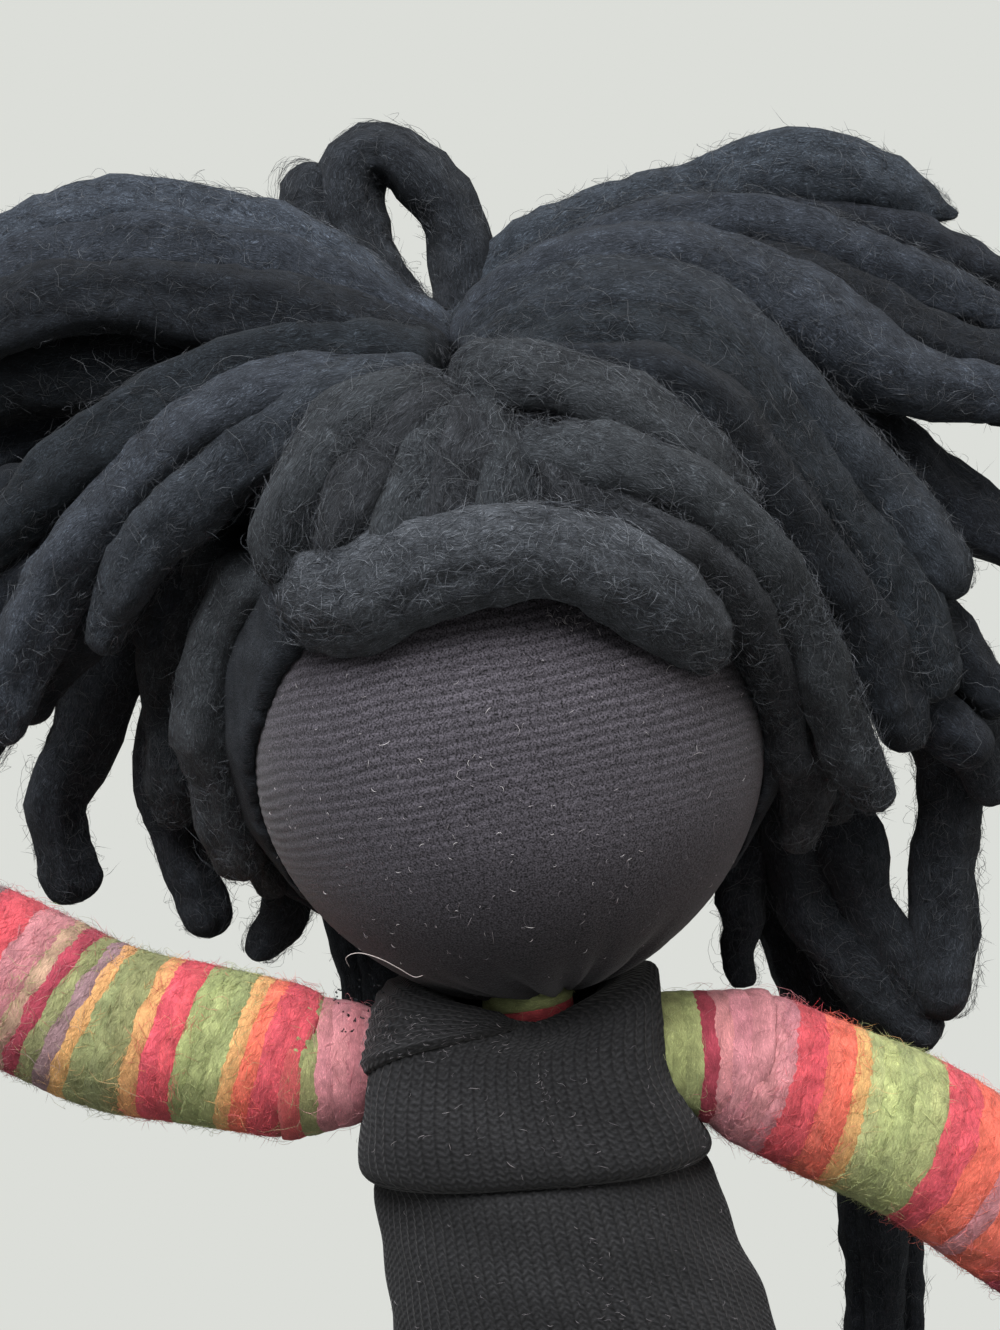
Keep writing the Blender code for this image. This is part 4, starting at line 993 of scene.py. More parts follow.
mound = surface_copy("hair_mound_wool", "hair_cap")
melt = mound.modifiers.new("melt", "REMESH")
melt.mode = "VOXEL"
melt.voxel_size = MOUND_GRAIN
applied(mound)
places = np.array([vertex.co for vertex in mound.data.vertices])
keep_values(mound.data, "lay", "FLOAT_VECTOR", places)
keep_values(mound.data, "colour", "FLOAT_COLOR", np.tile(linear(HAIR_BASE), (len(places), 1)))
print("mound, points:", len(places))
mound.data.materials.append(hair_wool)
mound.data.shade_smooth()
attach(mound, "head")
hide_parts("hair_cap")

# %% [markdown]
# The face is a ribbed jersey pulled over the ball and gathered under the chin. The ribs are 1.6 mm
# apart and climb to the right by twelve degrees, so the skin's poles are tilted by as much: every rib
# is then one row of the grid. Near the lower pole the cloth bunches into small radial folds.

# %% The jersey face
FACE_RADIUS = 38.35 * MM
RIB = 1.62 * MM
RIB_DEPTH = 0.10 * MM
RIB_SLANT = math.radians(12)
face_up = picture_up * math.cos(RIB_SLANT) - picture_right * math.sin(RIB_SLANT)
face_right = picture_right * math.cos(RIB_SLANT) + picture_up * math.sin(RIB_SLANT)
face_front = np.array([0.0, -1.0, 0.0])
GATHER_FOLDS = ((11, 0.42), (17, 0.34), (29, 0.22))
FACE_SEAM_ANGLE = 0.30
FACE_SEAM_WIDTH = 0.5 * MM
FACE_SEAM_DEPTH = 0.30 * MM
FACE_COLUMNS = 100
FACE_ROWS = 330


def face_place(around, along):
    """The jersey: a ball with ribs, folds at the gather and a seam below the middle."""
    angle, rise = around * TURN, (along - 0.5) * math.pi
    flat = np.cos(rise)[:, None]
    way = (np.sin(angle)[:, None] * face_right + np.cos(angle)[:, None] * face_front) * flat
    way = way + np.sin(rise)[:, None] * face_up
    drift = np.array([noise.noise(Vector(w) * 3.1) for w in way])
    fine = np.array([noise.noise(Vector(w) * 17.0) for w in way])
    arc = FACE_RADIUS * rise + 0.9 * MM * drift + 0.16 * MM * fine
    wave = np.cos(TURN * arc / RIB)
    low = np.clip((-rise - 0.35) / 0.75, 0, 1)
    fade = 1 - np.clip((-rise - 0.05) / 0.45, 0, 1) * 0.9
    ribs = RIB_DEPTH * fade * np.clip(0.75 + 0.6 * drift, 0.2, 1.2) * wave
    folds = sum(depth * np.cos(number * angle + 2.4 * number) for number, depth in GATHER_FOLDS)
    folds = folds * MM * low ** 4
    beside = (angle - FACE_SEAM_ANGLE) * np.cos(rise) * FACE_RADIUS
    seam = -FACE_SEAM_DEPTH * np.exp(-(beside / FACE_SEAM_WIDTH) ** 2)
    seam = seam * np.clip((-rise - 0.45) / 0.2, 0, 1)
    reach = FACE_RADIUS + ribs + folds + seam
    lay = np.stack([arc, angle * np.cos(rise) * FACE_RADIUS, 0 * arc], axis=-1)
    # The colour channels hold painted shade for the material: the first darkens the valleys between the
    # ribs, the second darkens the ball towards the gather below.
    shade = np.stack([1 - (0.5 - wave * 0.5) * fade, low, drift + 0.5, np.ones_like(arc)], axis=-1)
    return HEAD + way * reach[:, None], lay, shade


# %% The jersey's finish
JERSEY_COLOUR = "413e43"
JERSEY_THICK = 0.6 * MM
THREAD_COUNT = 3900.0
DUST_COUNT = 55.0


def jersey_material():
    """Charcoal cotton jersey, pilled and dusty, with painted shade in its rib valleys and towards the
    gather below.

    The counts of its threads and of its dusty patches are for one metre of cloth.
    """
    made, tree, output = new_material("charcoal_rib_jersey")
    shade = add(tree, "Attribute", attribute_name="colour")
    lay = add(tree, "Attribute", attribute_name="lay")
    rib = add(tree, "SeparateColor", {0: shade.outputs["Color"]})
    where = add(tree, "TexCoord")
    grain = add(tree, "TexNoise", {"Vector": where.outputs["Object"], "Scale": THREAD_COUNT,
                                   "Detail": 1.0})
    cloud = add(tree, "TexNoise", {"Vector": lay.outputs["Vector"], "Scale": DUST_COUNT, "Detail": 3.0})
    # Painted shade in the valleys between the ribs.
    rib_valley_shade = add(tree, "MapRange", {0: rib.outputs[0], 1: 0.0, 2: 0.6, 3: 0.62, 4: 1.05})
    speck = add(tree, "MapRange", {0: grain.outputs[0], 1: 0.28, 2: 0.72, 3: 0.10, 4: 2.05})
    dust = add(tree, "MapRange", {0: cloud.outputs[0], 1: 0.3, 2: 0.7, 3: 0.92, 4: 1.08})
    # Painted shade: the jersey is painted darker towards the gather below, down to a third at the bottom.
    low = add(tree, "MapRange", {0: rib.outputs[1], 1: 0.0, 2: 0.8, 3: 1.0, 4: 0.33})
    strength = rib_valley_shade
    for other in (speck, dust, low):
        strength = add(tree, "Math", {0: strength.outputs[0], 1: other.outputs[0]}, operation="MULTIPLY")
    colour = add(tree, "VectorMath", {0: linear(JERSEY_COLOUR)[:3], "Scale": strength.outputs[0]},
                 operation="SCALE")
    bump = add(tree, "Bump", {"Height": grain.outputs[0], "Distance": 0.12 * MM, "Strength": 0.7})
    shader = add(tree, "BsdfPrincipled", {"Base Color": colour.outputs[0], "Roughness": 0.92,
                                          "Specular IOR Level": 0.15, "Sheen Weight": 0.10,
                                          "Sheen Roughness": 0.5, "Normal": bump.outputs[0]})
    finish_material(tree, output, shader)
    return made


def thickened(cloth, thickness):
    """Gives a skin of cloth its thickness, inwards."""
    thick = cloth.modifiers.new("thickness", "SOLIDIFY")
    thick.thickness = thickness
    thick.offset = -1.0
    applied(cloth)
    cloth.data.shade_smooth()
    return cloth


def cloth_area(cloth):
    """The area of one side of a thickened cloth, in square metres."""
    shape = bmesh.new()
    shape.from_mesh(cloth.data)
    area = sum(facet.calc_area() for facet in shape.faces) / 2
    shape.free()
    return area


face = thickened(skin("jersey_face", FACE_COLUMNS, FACE_ROWS, face_place), JERSEY_THICK)
face.data.materials.append(jersey_material())
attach(face, "head")
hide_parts("face_cover")
print("face, faces:", len(face.data.polygons), "area, m2:", round(cloth_area(face), 5))

# %% [markdown]
# Dark jersey collects lint. Short pale fibres lie all over the face, a few are curled, and a small
# cluster is caught under the fringe.

# %% Lint on the face
LINT_CODES = ("6d686c", "858083", "a09a9c", "bdb8b8")
LINT_POINTS = 5
LINT_THICK = 0.08 * MM


def lint(count, middle, spread, length):
    """Short fibres that lie on the ball about a place, given in turns of right and up."""
    share = np.linspace(0, 1, LINT_POINTS) - 0.5
    right = middle[0] + luck.normal(0, spread[0], count)
    rise = middle[1] + luck.normal(0, spread[1], count)
    way = luck.uniform(0, TURN, count)[:, None] + luck.normal(0, 1.2, (count, 1)) * share
    size = luck.uniform(0.3, 1.0, count)[:, None] * length * MM / FACE_RADIUS
    right = right[:, None] + size * share * np.cos(way)
    rise = rise[:, None] + size * share * np.sin(way)
    reach = FACE_RADIUS + 0.16 * MM + 0.25 * MM * luck.uniform(0, 1, (count, 1)) * np.cos(share * math.pi)
    flat = np.cos(rise)
    place = (flat * np.sin(right))[..., None] * picture_right + np.sin(rise)[..., None] * picture_up
    place = place + (flat * np.cos(right))[..., None] * face_front
    return HEAD + place * reach[..., None]


lint_paths = np.concatenate([lint(300, (0, -0.1), (0.75, 0.5), 1.3),
                             lint(40, (0.22, 0.46), (0.05, 0.03), 1.5),
                             lint(26, (0.15, -0.35), (0.5, 0.4), 3.2)])
face_lint = strands("face_lint", lint_paths, pick_colours(LINT_CODES, len(lint_paths)), LINT_THICK)
face_lint.data.materials.append(fibre_material("lint", sheen=0.0))
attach(face_lint, "head")
print("face lint:", len(lint_paths), "fibres")

# %% [markdown]
# The arms are wire bound in a soft single-ply yarn whose dye changes every few turns. Each arm is
# one unbroken helix from the shoulder to the hand, a little flattened, at a pitch narrower than
# the yarn so that the turns bed into each other. The pitch is measured on the surface, so that the
# turns also close a rounded end. They are not square to the arm: they slant by nine degrees on
# the left arm, and by six the other way on the right one. The colours are read off the picture as the
# pixel where each band ends. Past the picture's edge the same dyes go on in even bands.

# %% Winding a limb
PITCH = 2.3 * MM
YARN_WIDTH = 4.5 * MM
YARN_DEPTH = 1.35 * MM
STEPS_A_TURN = 36
YARN_SIDES = 10
LIMB_SAMPLES = 1600
LEVEL_END = 14 * MM
DYE_FADE = 0.5 * MM
EVEN_BAND = 5.5 * MM
DYES = {"pink": "ba7c80", "crimson": "a0424f", "coral": "c4525a", "orange": "d56a58",
        "amber": "cf9f68", "green": "949a68", "olive": "8b8d62", "light": "9fa471", "mauve": "93797a",
        "rose": "c48a8e"}


def faded(dyes, edges, distance):
    """The dye at each distance, where each edge lets one dye fade into the next."""
    made = np.tile(dyes[0], (*np.shape(distance), 1))
    for edge, colour in zip(edges, dyes[1:]):
        share = np.clip((distance - edge) / DYE_FADE + 0.5, 0, 1)[..., None]
        made = made * (1 - share) + colour * share
    return made


def banded(route, bands, beyond):
    """A function from the distance along a limb to its dye. Each band ends at a pixel."""
    across = to_picture(route.points)[0]
    order = np.argsort(across)
    edges = [float(np.interp(pixel, across[order], route.distance[order])) for pixel, _ in bands]
    dyes = [np.array(linear(DYES[name])) for _, name in bands]
    while edges[-1] < route.length:
        edges.append(edges[-1] + EVEN_BAND)
        dyes.append(np.array(linear(DYES[beyond[len(dyes) % len(beyond)]])))
    return lambda distance: faded(dyes, edges, distance)


def front_of_turn(route, angle, turns, surface, along):
    """Where each point's own turn crosses the front, so that the dye changes at the back."""
    middle = route.length / 2
    ahead = math.atan2(-route.read(route.side, middle)[1], -route.read(route.out, middle)[1])
    crossing = (np.round((angle - ahead) / TURN) + ahead / TURN) / turns
    return np.interp(np.clip(crossing, 0, 1) * surface[-1], surface, along)


def winding(name, route, dye, slant, pitch=PITCH, width=YARN_WIDTH, density=0.3, halo=40):
    """One unbroken yarn wound round a limb from end to end, and its fuzz."""
    along = (1 - np.cos(np.linspace(0, math.pi, LIMB_SAMPLES))) / 2 * route.length
    radius = route.domed(along)
    surface = np.concatenate([[0], np.cumsum(np.hypot(np.diff(along), np.diff(radius)))])
    slope = np.clip(np.gradient(radius, along), -12, 12)
    turns = surface[-1] / pitch
    count = int(turns * STEPS_A_TURN)
    share = np.linspace(0, 1, count)
    angle = share * turns * TURN
    own = np.interp(share * surface[-1], surface, along)
    wobble = 0.10 * pitch * np.sin(own * 1900) + 0.08 * pitch * np.sin(own * 5300 + 1)
    inside = np.clip(np.minimum(own, route.length - own) / LEVEL_END, 0, 1)
    tilt = math.tan(slant) * route.radius(own) * np.cos(angle)
    distance = np.clip(own + (tilt + wobble) * inside, 0, route.length)
    reach = np.maximum(route.domed(distance), 0.3 * MM)
    line = route.at(distance, angle, reach)
    outward = unit(route.at(distance, angle, reach + 0.1 * MM) - line)
    ahead = np.interp(distance, along, slope)[:, None] * route.read(route.way, distance)
    out = route.faced_down(unit(outward - ahead), line)
    line = line - out * YARN_DEPTH / 2
    yarn = Route(line, np.full(count, YARN_DEPTH / 2), out)
    colours = dye(front_of_turn(route, angle, turns, surface, along))
    blotches = luck.normal(1.03, 0.06, (count // 7 + 2, 1)) + luck.normal(0, 0.025, (count // 7 + 2, 3))
    knots = np.linspace(0, 1, len(blotches))
    for channel, values in enumerate(blotches.T):
        colours[:, channel] *= np.interp(share, knots, values)
    colours = np.clip(colours, 0, 1)

    def place(around, along):
        at, section = along * yarn.length, around * TURN
        half_width, half_depth = width / 2, YARN_DEPTH / 2
        swell = 1 + 0.05 * np.sin(at * 800) + 0.02 * np.sin(at * 2300 + 2)
        ends = np.sqrt(np.clip(np.minimum(at, yarn.length - at) / (2 * MM), 0, 1))
        out_way, side_way = yarn.read(yarn.out, at), yarn.read(yarn.side, at)
        lift = np.cos(section) * half_depth * swell * ends
        across = np.sin(section) * half_width * swell * ends
        points = yarn.read(yarn.points, at) + lift[:, None] * out_way + across[:, None] * side_way
        lay = np.stack([at, across, lift], axis=-1)
        return points, lay, yarn.read(colours, at)

    body = skin(name, YARN_SIDES, count - 1, place)
    body.data.materials.append(yarn_wool)
    fuzz = winding_fuzz(name + "_fuzz", route, dye, slant, density)
    return combine(name, [body, fuzz, winding_halo(name + "_halo", route, dye, halo)])


# %% The fuzz of a winding
HALO_POINTS = 7
HALO_LENGTH = 5


def winding_fuzz(name, route, dye, slant, density):
    """Fibres that follow the turns of a winding and stand off them a little."""
    area = TURN * float(np.mean(route.radii)) * route.length / MM ** 2
    count = int(area * density)
    share = np.linspace(0, 1, 3)
    own = luck.uniform(0, 1, count) * route.length
    angle = luck.uniform(0, TURN, count)
    length = luck.uniform(1.5, 4.0, count) * MM
    lean = luck.normal(0, 0.6, count) + math.pi * luck.integers(0, 2, count)
    rise = 0.40 * MM * luck.exponential(1, count)
    radius = route.radius(own)
    sweep = angle[:, None] + (length * np.cos(lean) / radius)[:, None] * share
    drift = own[:, None] + (length * np.sin(lean))[:, None] * share
    distance = kept_on(route, drift + math.tan(slant) * radius[:, None] * np.cos(sweep))
    reach = route.domed(distance) - 0.15 * MM + rise[:, None] * share ** 1.4
    paths = route.at(distance, sweep, reach)
    colours = dye(own)
    colours[:, :3] *= 1 + luck.normal(0.18, 0.20, (count, 1)) + luck.normal(0, 0.05, (count, 3))
    made = strands(name, paths, np.clip(colours, 0, 1), YARN_FUZZ_THICK)
    made.data.materials.append(yarn_fibre)
    return made


def winding_halo(name, route, dye, count):
    """Long curly fibres that stand in loops off a winding."""
    share = np.linspace(0, 1, HALO_POINTS)
    own = luck.uniform(0.02, 0.98, count) * route.length
    step = luck.uniform(0.5, 1.3, (count, 1)) * HALO_LENGTH * MM / (HALO_POINTS - 1)
    way = luck.uniform(0, TURN, (count, 1))
    way = way + np.cumsum(luck.normal(0, 0.7, (count, HALO_POINTS)), axis=1)
    sweep = luck.uniform(0, TURN, (count, 1))
    sweep = sweep + np.cumsum(np.cos(way), axis=1) * step / route.radius(own)[:, None]
    distance = kept_on(route, own[:, None] + np.cumsum(np.sin(way), axis=1) * step)
    rise = luck.uniform(0.3, 1.6, (count, 1)) * MM
    reach = route.domed(distance) - 0.1 * MM + rise * np.sin(share * math.pi * 0.85)
    colours = dye(own)
    colours[:, :3] = colours[:, :3] * 1.1 + 0.05
    made = strands(name, route.at(distance, sweep, reach), np.clip(colours, 0, 1), HALO_THICK)
    made.data.materials.append(yarn_fibre)
    return made


# %% [markdown]
# Each arm's winding starts in a round root at the shoulder, bends at the elbow and ends in a
# rounded hand, as a single piece that is baked in place and follows no body. A short collar of the
# same winding sits on the shoulder and belongs to the torso, and the root lies inside it. The
# forearms follow the slope of their wires.

# %% The arms
ARM_SLANT = {"left": math.radians(9), "right": math.radians(-6)}
LEFT_BANDS = ((362, "pink"), (350, "crimson"), (326, "pink"), (305, "olive"), (274, "coral"),
              (258, "orange"), (246, "amber"), (202, "green"), (160, "coral"), (148, "amber"),
              (106, "olive"), (94, "amber"), (82, "mauve"), (68, "olive"), (56, "crimson"), (44, "pink"),
              (32, "green"), (4, "pink"), (-30, "coral"))
RIGHT_BANDS = ((694, "green"), (706, "crimson"), (770, "pink"), (802, "coral"), (834, "orange"),
               (846, "amber"), (912, "light"), (936, "coral"), (966, "orange"), (978, "pink"),
               (1010, "orange"))
BEYOND = ("pink", "mauve", "green", "coral", "olive", "crimson")
ARM_ROOT = 11.0
ARM_REACHES = np.array([0, 6, 10, 12.5, 36, 60, 80]) * MM
ARM_RADII = np.array([9.6, 10.4, 11.2, 11.6, 12.3, 12.4, 11.2]) * MM
COLLAR_SHARES = (0, 0.35, 0.6, 1)
COLLAR_RADII = (8.0, 9.8, 11.2, 11.2)
SHOULDER_INNER = {"left": (408, 1058, 0), "right": (606, 1046, 0)}


def arm_route(side):
    """From the shoulder's round root through the elbow to the rounded hand."""
    shoulder, elbow = joints[f"shoulder_raise_{side}"], joints[f"elbow_{side}"]
    low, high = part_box(f"forearm_{side}")
    wire_low, wire_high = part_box(f"forearm_wire_{side}")
    slope = (wire_high[2] - wire_low[2]) / (wire_high[0] - wire_low[0])
    across = low[0] if side == "left" else high[0]
    hand = np.array([across, elbow[1], elbow[2] - (across - elbow[0]) * slope])
    upper, fore = unit(elbow - shoulder), unit(hand - elbow)
    root = shoulder - upper * ARM_ROOT * MM
    line = smooth_path([root, shoulder, shoulder + upper * 13 * MM, elbow, elbow + fore * 16 * MM,
                        hand - fore * 0.5 * MM], 12)
    return Route(line, np.interp(np.linalg.norm(line - root, axis=1), ARM_REACHES, ARM_RADII))


def shoulder_route(side):
    """From inside the dress to the shoulder's pivot, round the arm's own root."""
    shoulder, elbow = joints[f"shoulder_raise_{side}"], joints[f"elbow_{side}"]
    upper = unit(elbow - shoulder)
    line = smooth_path([from_picture(*SHOULDER_INNER[side]), shoulder - upper * 3 * MM,
                        shoulder + upper * 1.2 * MM], 10)
    share = np.linspace(0, 1, len(line))
    radii = np.interp(share, COLLAR_SHARES, COLLAR_RADII) * MM
    return Route(line, radii, round_ends=(True, False))


for side, bands in (("left", LEFT_BANDS), ("right", RIGHT_BANDS)):
    shoulder = shoulder_route(side)
    collar = winding(f"shoulder_winding_{side}_wool", shoulder, banded(shoulder, bands, BEYOND),
                     ARM_SLANT[side])
    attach(collar, "torso")
    route = arm_route(side)
    arm = winding(f"arm_winding_{side}_wool", route, banded(route, bands, BEYOND), ARM_SLANT[side],
                  density=2.2, halo=420)
    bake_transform(arm)
    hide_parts(f"upper_arm_{side}", f"upper_arm_winding_{side}", f"forearm_{side}",
                f"forearm_winding_{side}")
    print(side, "arm, mm:", round(route.length / MM, 1), "faces:", len(arm.data.polygons))

# %% [markdown]
# The neck is a short bound stub that shows in the dress's neckline, green with one turn of red.
# Its yarn is thinner and lies at a closer pitch than the arms', because it only binds the gathered
# jersey to the wire.

# %% The neck
NECK_HALF = 0.0062
NECK_RADIUS = 6.9 * MM
NECK_POINTS = 12
RED_FROM = 8.6 * MM
RED_TO = 10.6 * MM
RED_FADE = 0.4 * MM
neck_line = np.linspace(NECK + (0, 0, -NECK_HALF), NECK + (0, 0, NECK_HALF), NECK_POINTS)
neck_route = Route(neck_line, np.full(NECK_POINTS, NECK_RADIUS), round_ends=(False, False))


def neck_dye(distance):
    """Green all along, but for one turn of red near the top."""
    share = np.clip((distance - RED_FROM) / RED_FADE, 0, 1) * np.clip((RED_TO - distance) / RED_FADE, 0, 1)
    share = share[..., None]
    return np.array(linear(DYES["light"])) * (1 - share) + np.array(linear(DYES["coral"])) * share


neck = winding("neck_winding_wool", neck_route, neck_dye, math.radians(14), pitch=2.0 * MM,
               width=2.8 * MM)
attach(neck, "neck")
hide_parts("neck_winding")
print("neck, faces:", len(neck.data.polygons))

# %% [markdown]
# The legs are outside the picture. They are wound like the arms, in the same dyes, as one winding
# from above the hip to below the ankle, baked in place and tied to no body. Nothing shows where
# their dyes change, so a function makes bands of uneven width, and the amber ones are thin as on
# the arms.

# %% The legs
LEG_DYES = ("coral", "green", "pink", "orange", "olive", "rose", "amber", "light", "crimson")
MOST_BANDS = 24
AMBER_SHARE = 0.25
LEG_BAND = 9 * MM
LEG_ABOVE_HIP = 0.0122
LEG_BELOW_ANKLE = 0.0040
LEG_DROPS = np.array([0, 24, 46, 58, 72, 92, 108]) * MM
LEG_RADII = np.array([12.4, 12.6, 11.4, 11.0, 10.8, 9.4, 9.0]) * MM


def sequence(names, width, start=0):
    """Dyes that change every few turns, in bands of uneven width."""
    order = [names[(start + i) % len(names)] for i in range(MOST_BANDS)]
    dyes = [np.array(linear(DYES[name])) for name in order]
    uneven = [0.55 + 0.45 * math.sin(i * 2.1) ** 2 for i in range(1, MOST_BANDS)]
    widths = [width * part * (AMBER_SHARE if name == "amber" else 1)
              for part, name in zip(uneven, order)]
    return lambda distance: faded(dyes, np.cumsum(widths), distance)


for side in ("left", "right"):
    hip, knee, ankle = joints[f"hip_{side}"], joints[f"knee_{side}"], joints[f"ankle_{side}"]
    top = hip + np.array([0, 0, LEG_ABOVE_HIP])
    line = np.linspace(top, ankle + (0, 0, -LEG_BELOW_ANKLE), 60)
    leg_route = Route(line, np.interp(top[2] - line[:, 2], LEG_DROPS, LEG_RADII))
    leg = winding(f"leg_winding_{side}_wool", leg_route,
                  sequence(LEG_DYES, LEG_BAND, 0 if side == "left" else 4), math.radians(7))
    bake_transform(leg)
    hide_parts(f"thigh_{side}", f"shin_{side}")
    print(side, "leg, mm:", round(leg_route.length / MM, 1), "faces:", len(leg.data.polygons))

# %% [markdown]
# Each foot is a wound pad whose turns run across it, from the heel to the toe. The doll has to
# stand, so the pad is lower than it is wide, and everything that would reach below the sole is
# laid flat on it. The yarn is turned to face down there, or its section would stand on edge.

# %% The feet
SOLE = 0.4 * MM
SOLE_TURN = 1.5 * MM
FOOT_MIDDLE = 8.3 * MM
FOOT_RADIUS = 10.6 * MM
FOOT_HEIGHT_SHARE = 0.80
FOOT_INSET = 0.3 * MM
FOOT_BAND = 8 * MM


def foot_line(side):
    """The line from heel to toe through the middle of a foot."""
    low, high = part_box(f"foot_{side}")
    heel, toe = high[1] - FOOT_INSET, low[1] + FOOT_INSET
    middle = (low[0] + high[0]) / 2
    return np.array([(middle, y, FOOT_MIDDLE) for y in np.linspace(heel, toe, 30)])


class FlatRoute(Route):
    """A route whose section is wider than it is high, and flat where it stands."""

    def at(self, distance, angle, reach):
        place = super().at(distance, angle, reach)
        middle = self.read(self.points, distance)
        apart = place - middle
        apart[..., 2] *= FOOT_HEIGHT_SHARE
        place = middle + apart
        place[..., 2] = np.maximum(place[..., 2], SOLE)
        return place

    def faced_down(self, out, line):
        near = np.clip(1 - (line[:, 2:] - SOLE) / SOLE_TURN, 0, 1)
        return unit(out * (1 - near) + np.array([0, 0, -1.0]) * near)


for side in ("left", "right"):
    line = foot_line(side)
    foot_route = FlatRoute(line, np.full(len(line), FOOT_RADIUS))
    foot = winding(f"foot_winding_{side}_wool", foot_route,
                   sequence(LEG_DYES, FOOT_BAND, 2 if side == "left" else 6), math.radians(4))
    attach(foot, f"foot_{side}")
    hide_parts(f"foot_{side}")
    print(side, "foot, mm:", round(foot_route.length / MM, 1))

# %% [markdown]
# The dress is cut from a black cotton sock. Sock knit is plain stitch: columns of small V shapes,
# 1.4 mm apart, with a groove between them. The columns are modelled. The material draws the V of
# each stitch as painted highlight and shade and paints shade into the grooves, in the piece's own
# UV map, which counts columns round and rows along.

# %% Sock knit
COURSE = 1.05 * MM
KNIT_COLOUR = "222223"
WALE_DEPTH = 0.16 * MM
KNIT_THICK = 1.0 * MM


def knit_material(name, wales, courses):
    """Black cotton sock knit with a worn grey bloom on its stitches, painted highlight and shade across
    each stitch and painted shade in its grooves.
    """
    made, tree, output = new_material(name)
    where = add(tree, "UVMap", uv_map="UVMap")
    counted = add(tree, "Mapping", {"Vector": where.outputs[0], "Scale": (wales, courses, 1)})
    parts = add(tree, "SeparateXYZ", {0: counted.outputs[0]})
    column = add(tree, "Math", {0: parts.outputs["X"]}, operation="FRACT")
    centred = add(tree, "Math", {0: column.outputs[0], 1: 0.5}, operation="SUBTRACT")
    side = add(tree, "Math", {0: centred.outputs[0]}, operation="ABSOLUTE")
    slope = add(tree, "Math", {0: side.outputs[0], 1: -1.5, 2: parts.outputs["Y"]},
                operation="MULTIPLY_ADD")
    wave = add(tree, "Math", {0: slope.outputs[0], 1: TURN}, operation="MULTIPLY")
    stitch = add(tree, "Math", {0: wave.outputs[0]}, operation="SINE")
    fuzz = add(tree, "TexNoise", {"Vector": counted.outputs[0], "Scale": 2.6, "Detail": 3.0})
    bloom = add(tree, "TexNoise", {"Vector": counted.outputs[0], "Scale": 0.12, "Detail": 2.0})
    # Painted shade in the grooves between the columns.
    groove = add(tree, "MapRange", {0: side.outputs[0], 1: 0.32, 2: 0.5, 3: 1.0, 4: 0.45})
    # The V of each stitch, drawn as painted highlight and shade across it.
    light = add(tree, "MapRange", {0: stitch.outputs[0], 1: -1.0, 2: 1.0, 3: 0.72, 4: 1.18})
    rough = add(tree, "MapRange", {0: fuzz.outputs[0], 1: 0.3, 2: 0.7, 3: 0.45, 4: 1.65})
    worn = add(tree, "MapRange", {0: bloom.outputs[0], 1: 0.35, 2: 0.65, 3: 0.88, 4: 1.15})
    strength = groove
    for other in (light, rough, worn):
        strength = add(tree, "Math", {0: strength.outputs[0], 1: other.outputs[0]}, operation="MULTIPLY")
    colour = add(tree, "VectorMath", {0: linear(KNIT_COLOUR)[:3], "Scale": strength.outputs[0]},
                 operation="SCALE")
    height = add(tree, "Math", {0: stitch.outputs[0], 1: 0.5, 2: fuzz.outputs[0]}, operation="MULTIPLY_ADD")
    bump = add(tree, "Bump", {"Height": height.outputs[0], "Distance": 0.12 * MM, "Strength": 0.8})
    shader = add(tree, "BsdfPrincipled", {"Base Color": colour.outputs[0], "Roughness": 0.9,
                                          "Specular IOR Level": 0.2, "Sheen Weight": 0.08,
                                          "Sheen Roughness": 0.5, "Normal": bump.outputs[0]})
    finish_material(tree, output, shader)
    return made


# %% The shape of the dress
SQUARE_FROM = 153
SQUARE_OVER = 8
SEAM_HEIGHT = 0.55
SEAM_WIDTH = 0.030
DIP_DEPTH = 2.6
DIP_FROM = 173


def dress_surface(levels):
    """The dress's outside, from ovals of (height, left, right, half depth, rise at the sides) in mm."""
    levels = smooth_path(levels, 10)
    steps = np.linalg.norm(np.diff(levels[:, [0, 3]], axis=0), axis=1)
    length = np.concatenate([[0], np.cumsum(steps)])
    shares = length / length[-1]

    def surface(angle, along, lift=0.0):
        height, left, right, deep, rise = (np.interp(along, shares, row) for row in levels.T)
        bulge = lift + 0.35 * np.sin(3 * angle + height * 0.35) * np.cos(height * 0.21 + 2 * angle)
        bulge = bulge + seam_ridge(angle, height)
        corner = 2 + 2 * np.clip((height - SQUARE_FROM) / SQUARE_OVER, 0, 1)
        wide, ahead = np.abs(np.sin(angle)), np.abs(np.cos(angle))
        square = (wide ** corner + ahead ** corner) ** (-1 / corner)
        across = ((right - left) / 2 + bulge) * square * np.sin(angle) + (left + right) / 2
        front = -(deep + bulge) * square * np.cos(angle)
        up = height + rise * np.abs(np.sin(angle)) ** 2.2 - neck_dip(angle, height)
        return np.stack([across, front, up], axis=-1) * MM + np.array([HEAD[0], HEAD[1], 0])
    return surface, length[-1]


def seam_ridge(angle, height):
    """The sewn ridge down the front, which drifts to the right on its way down."""
    middle = 0.09 + 0.005 * (175 - height)
    return SEAM_HEIGHT * np.exp(-((angle - middle) / SEAM_WIDTH) ** 2)


def neck_dip(angle, height):
    """How far the neckline dips at the front, in mm."""
    turned = (angle + math.pi) % TURN - math.pi
    return DIP_DEPTH * np.exp(-((turned - 0.05) / 0.5) ** 2) * np.clip((height - DIP_FROM) / 5, 0, 1)


# %% [markdown]
# The bodice and the lower piece are two tubes. Each is a table of ovals from one edge to the other,
# and smaller ovals at the ends turn its edges in. The lower one starts inside the bodice, as the
# real one is tucked under it.

# %% The bodice and the lower piece
STEPS_A_WALE = 5
DRESS_WALES = 88


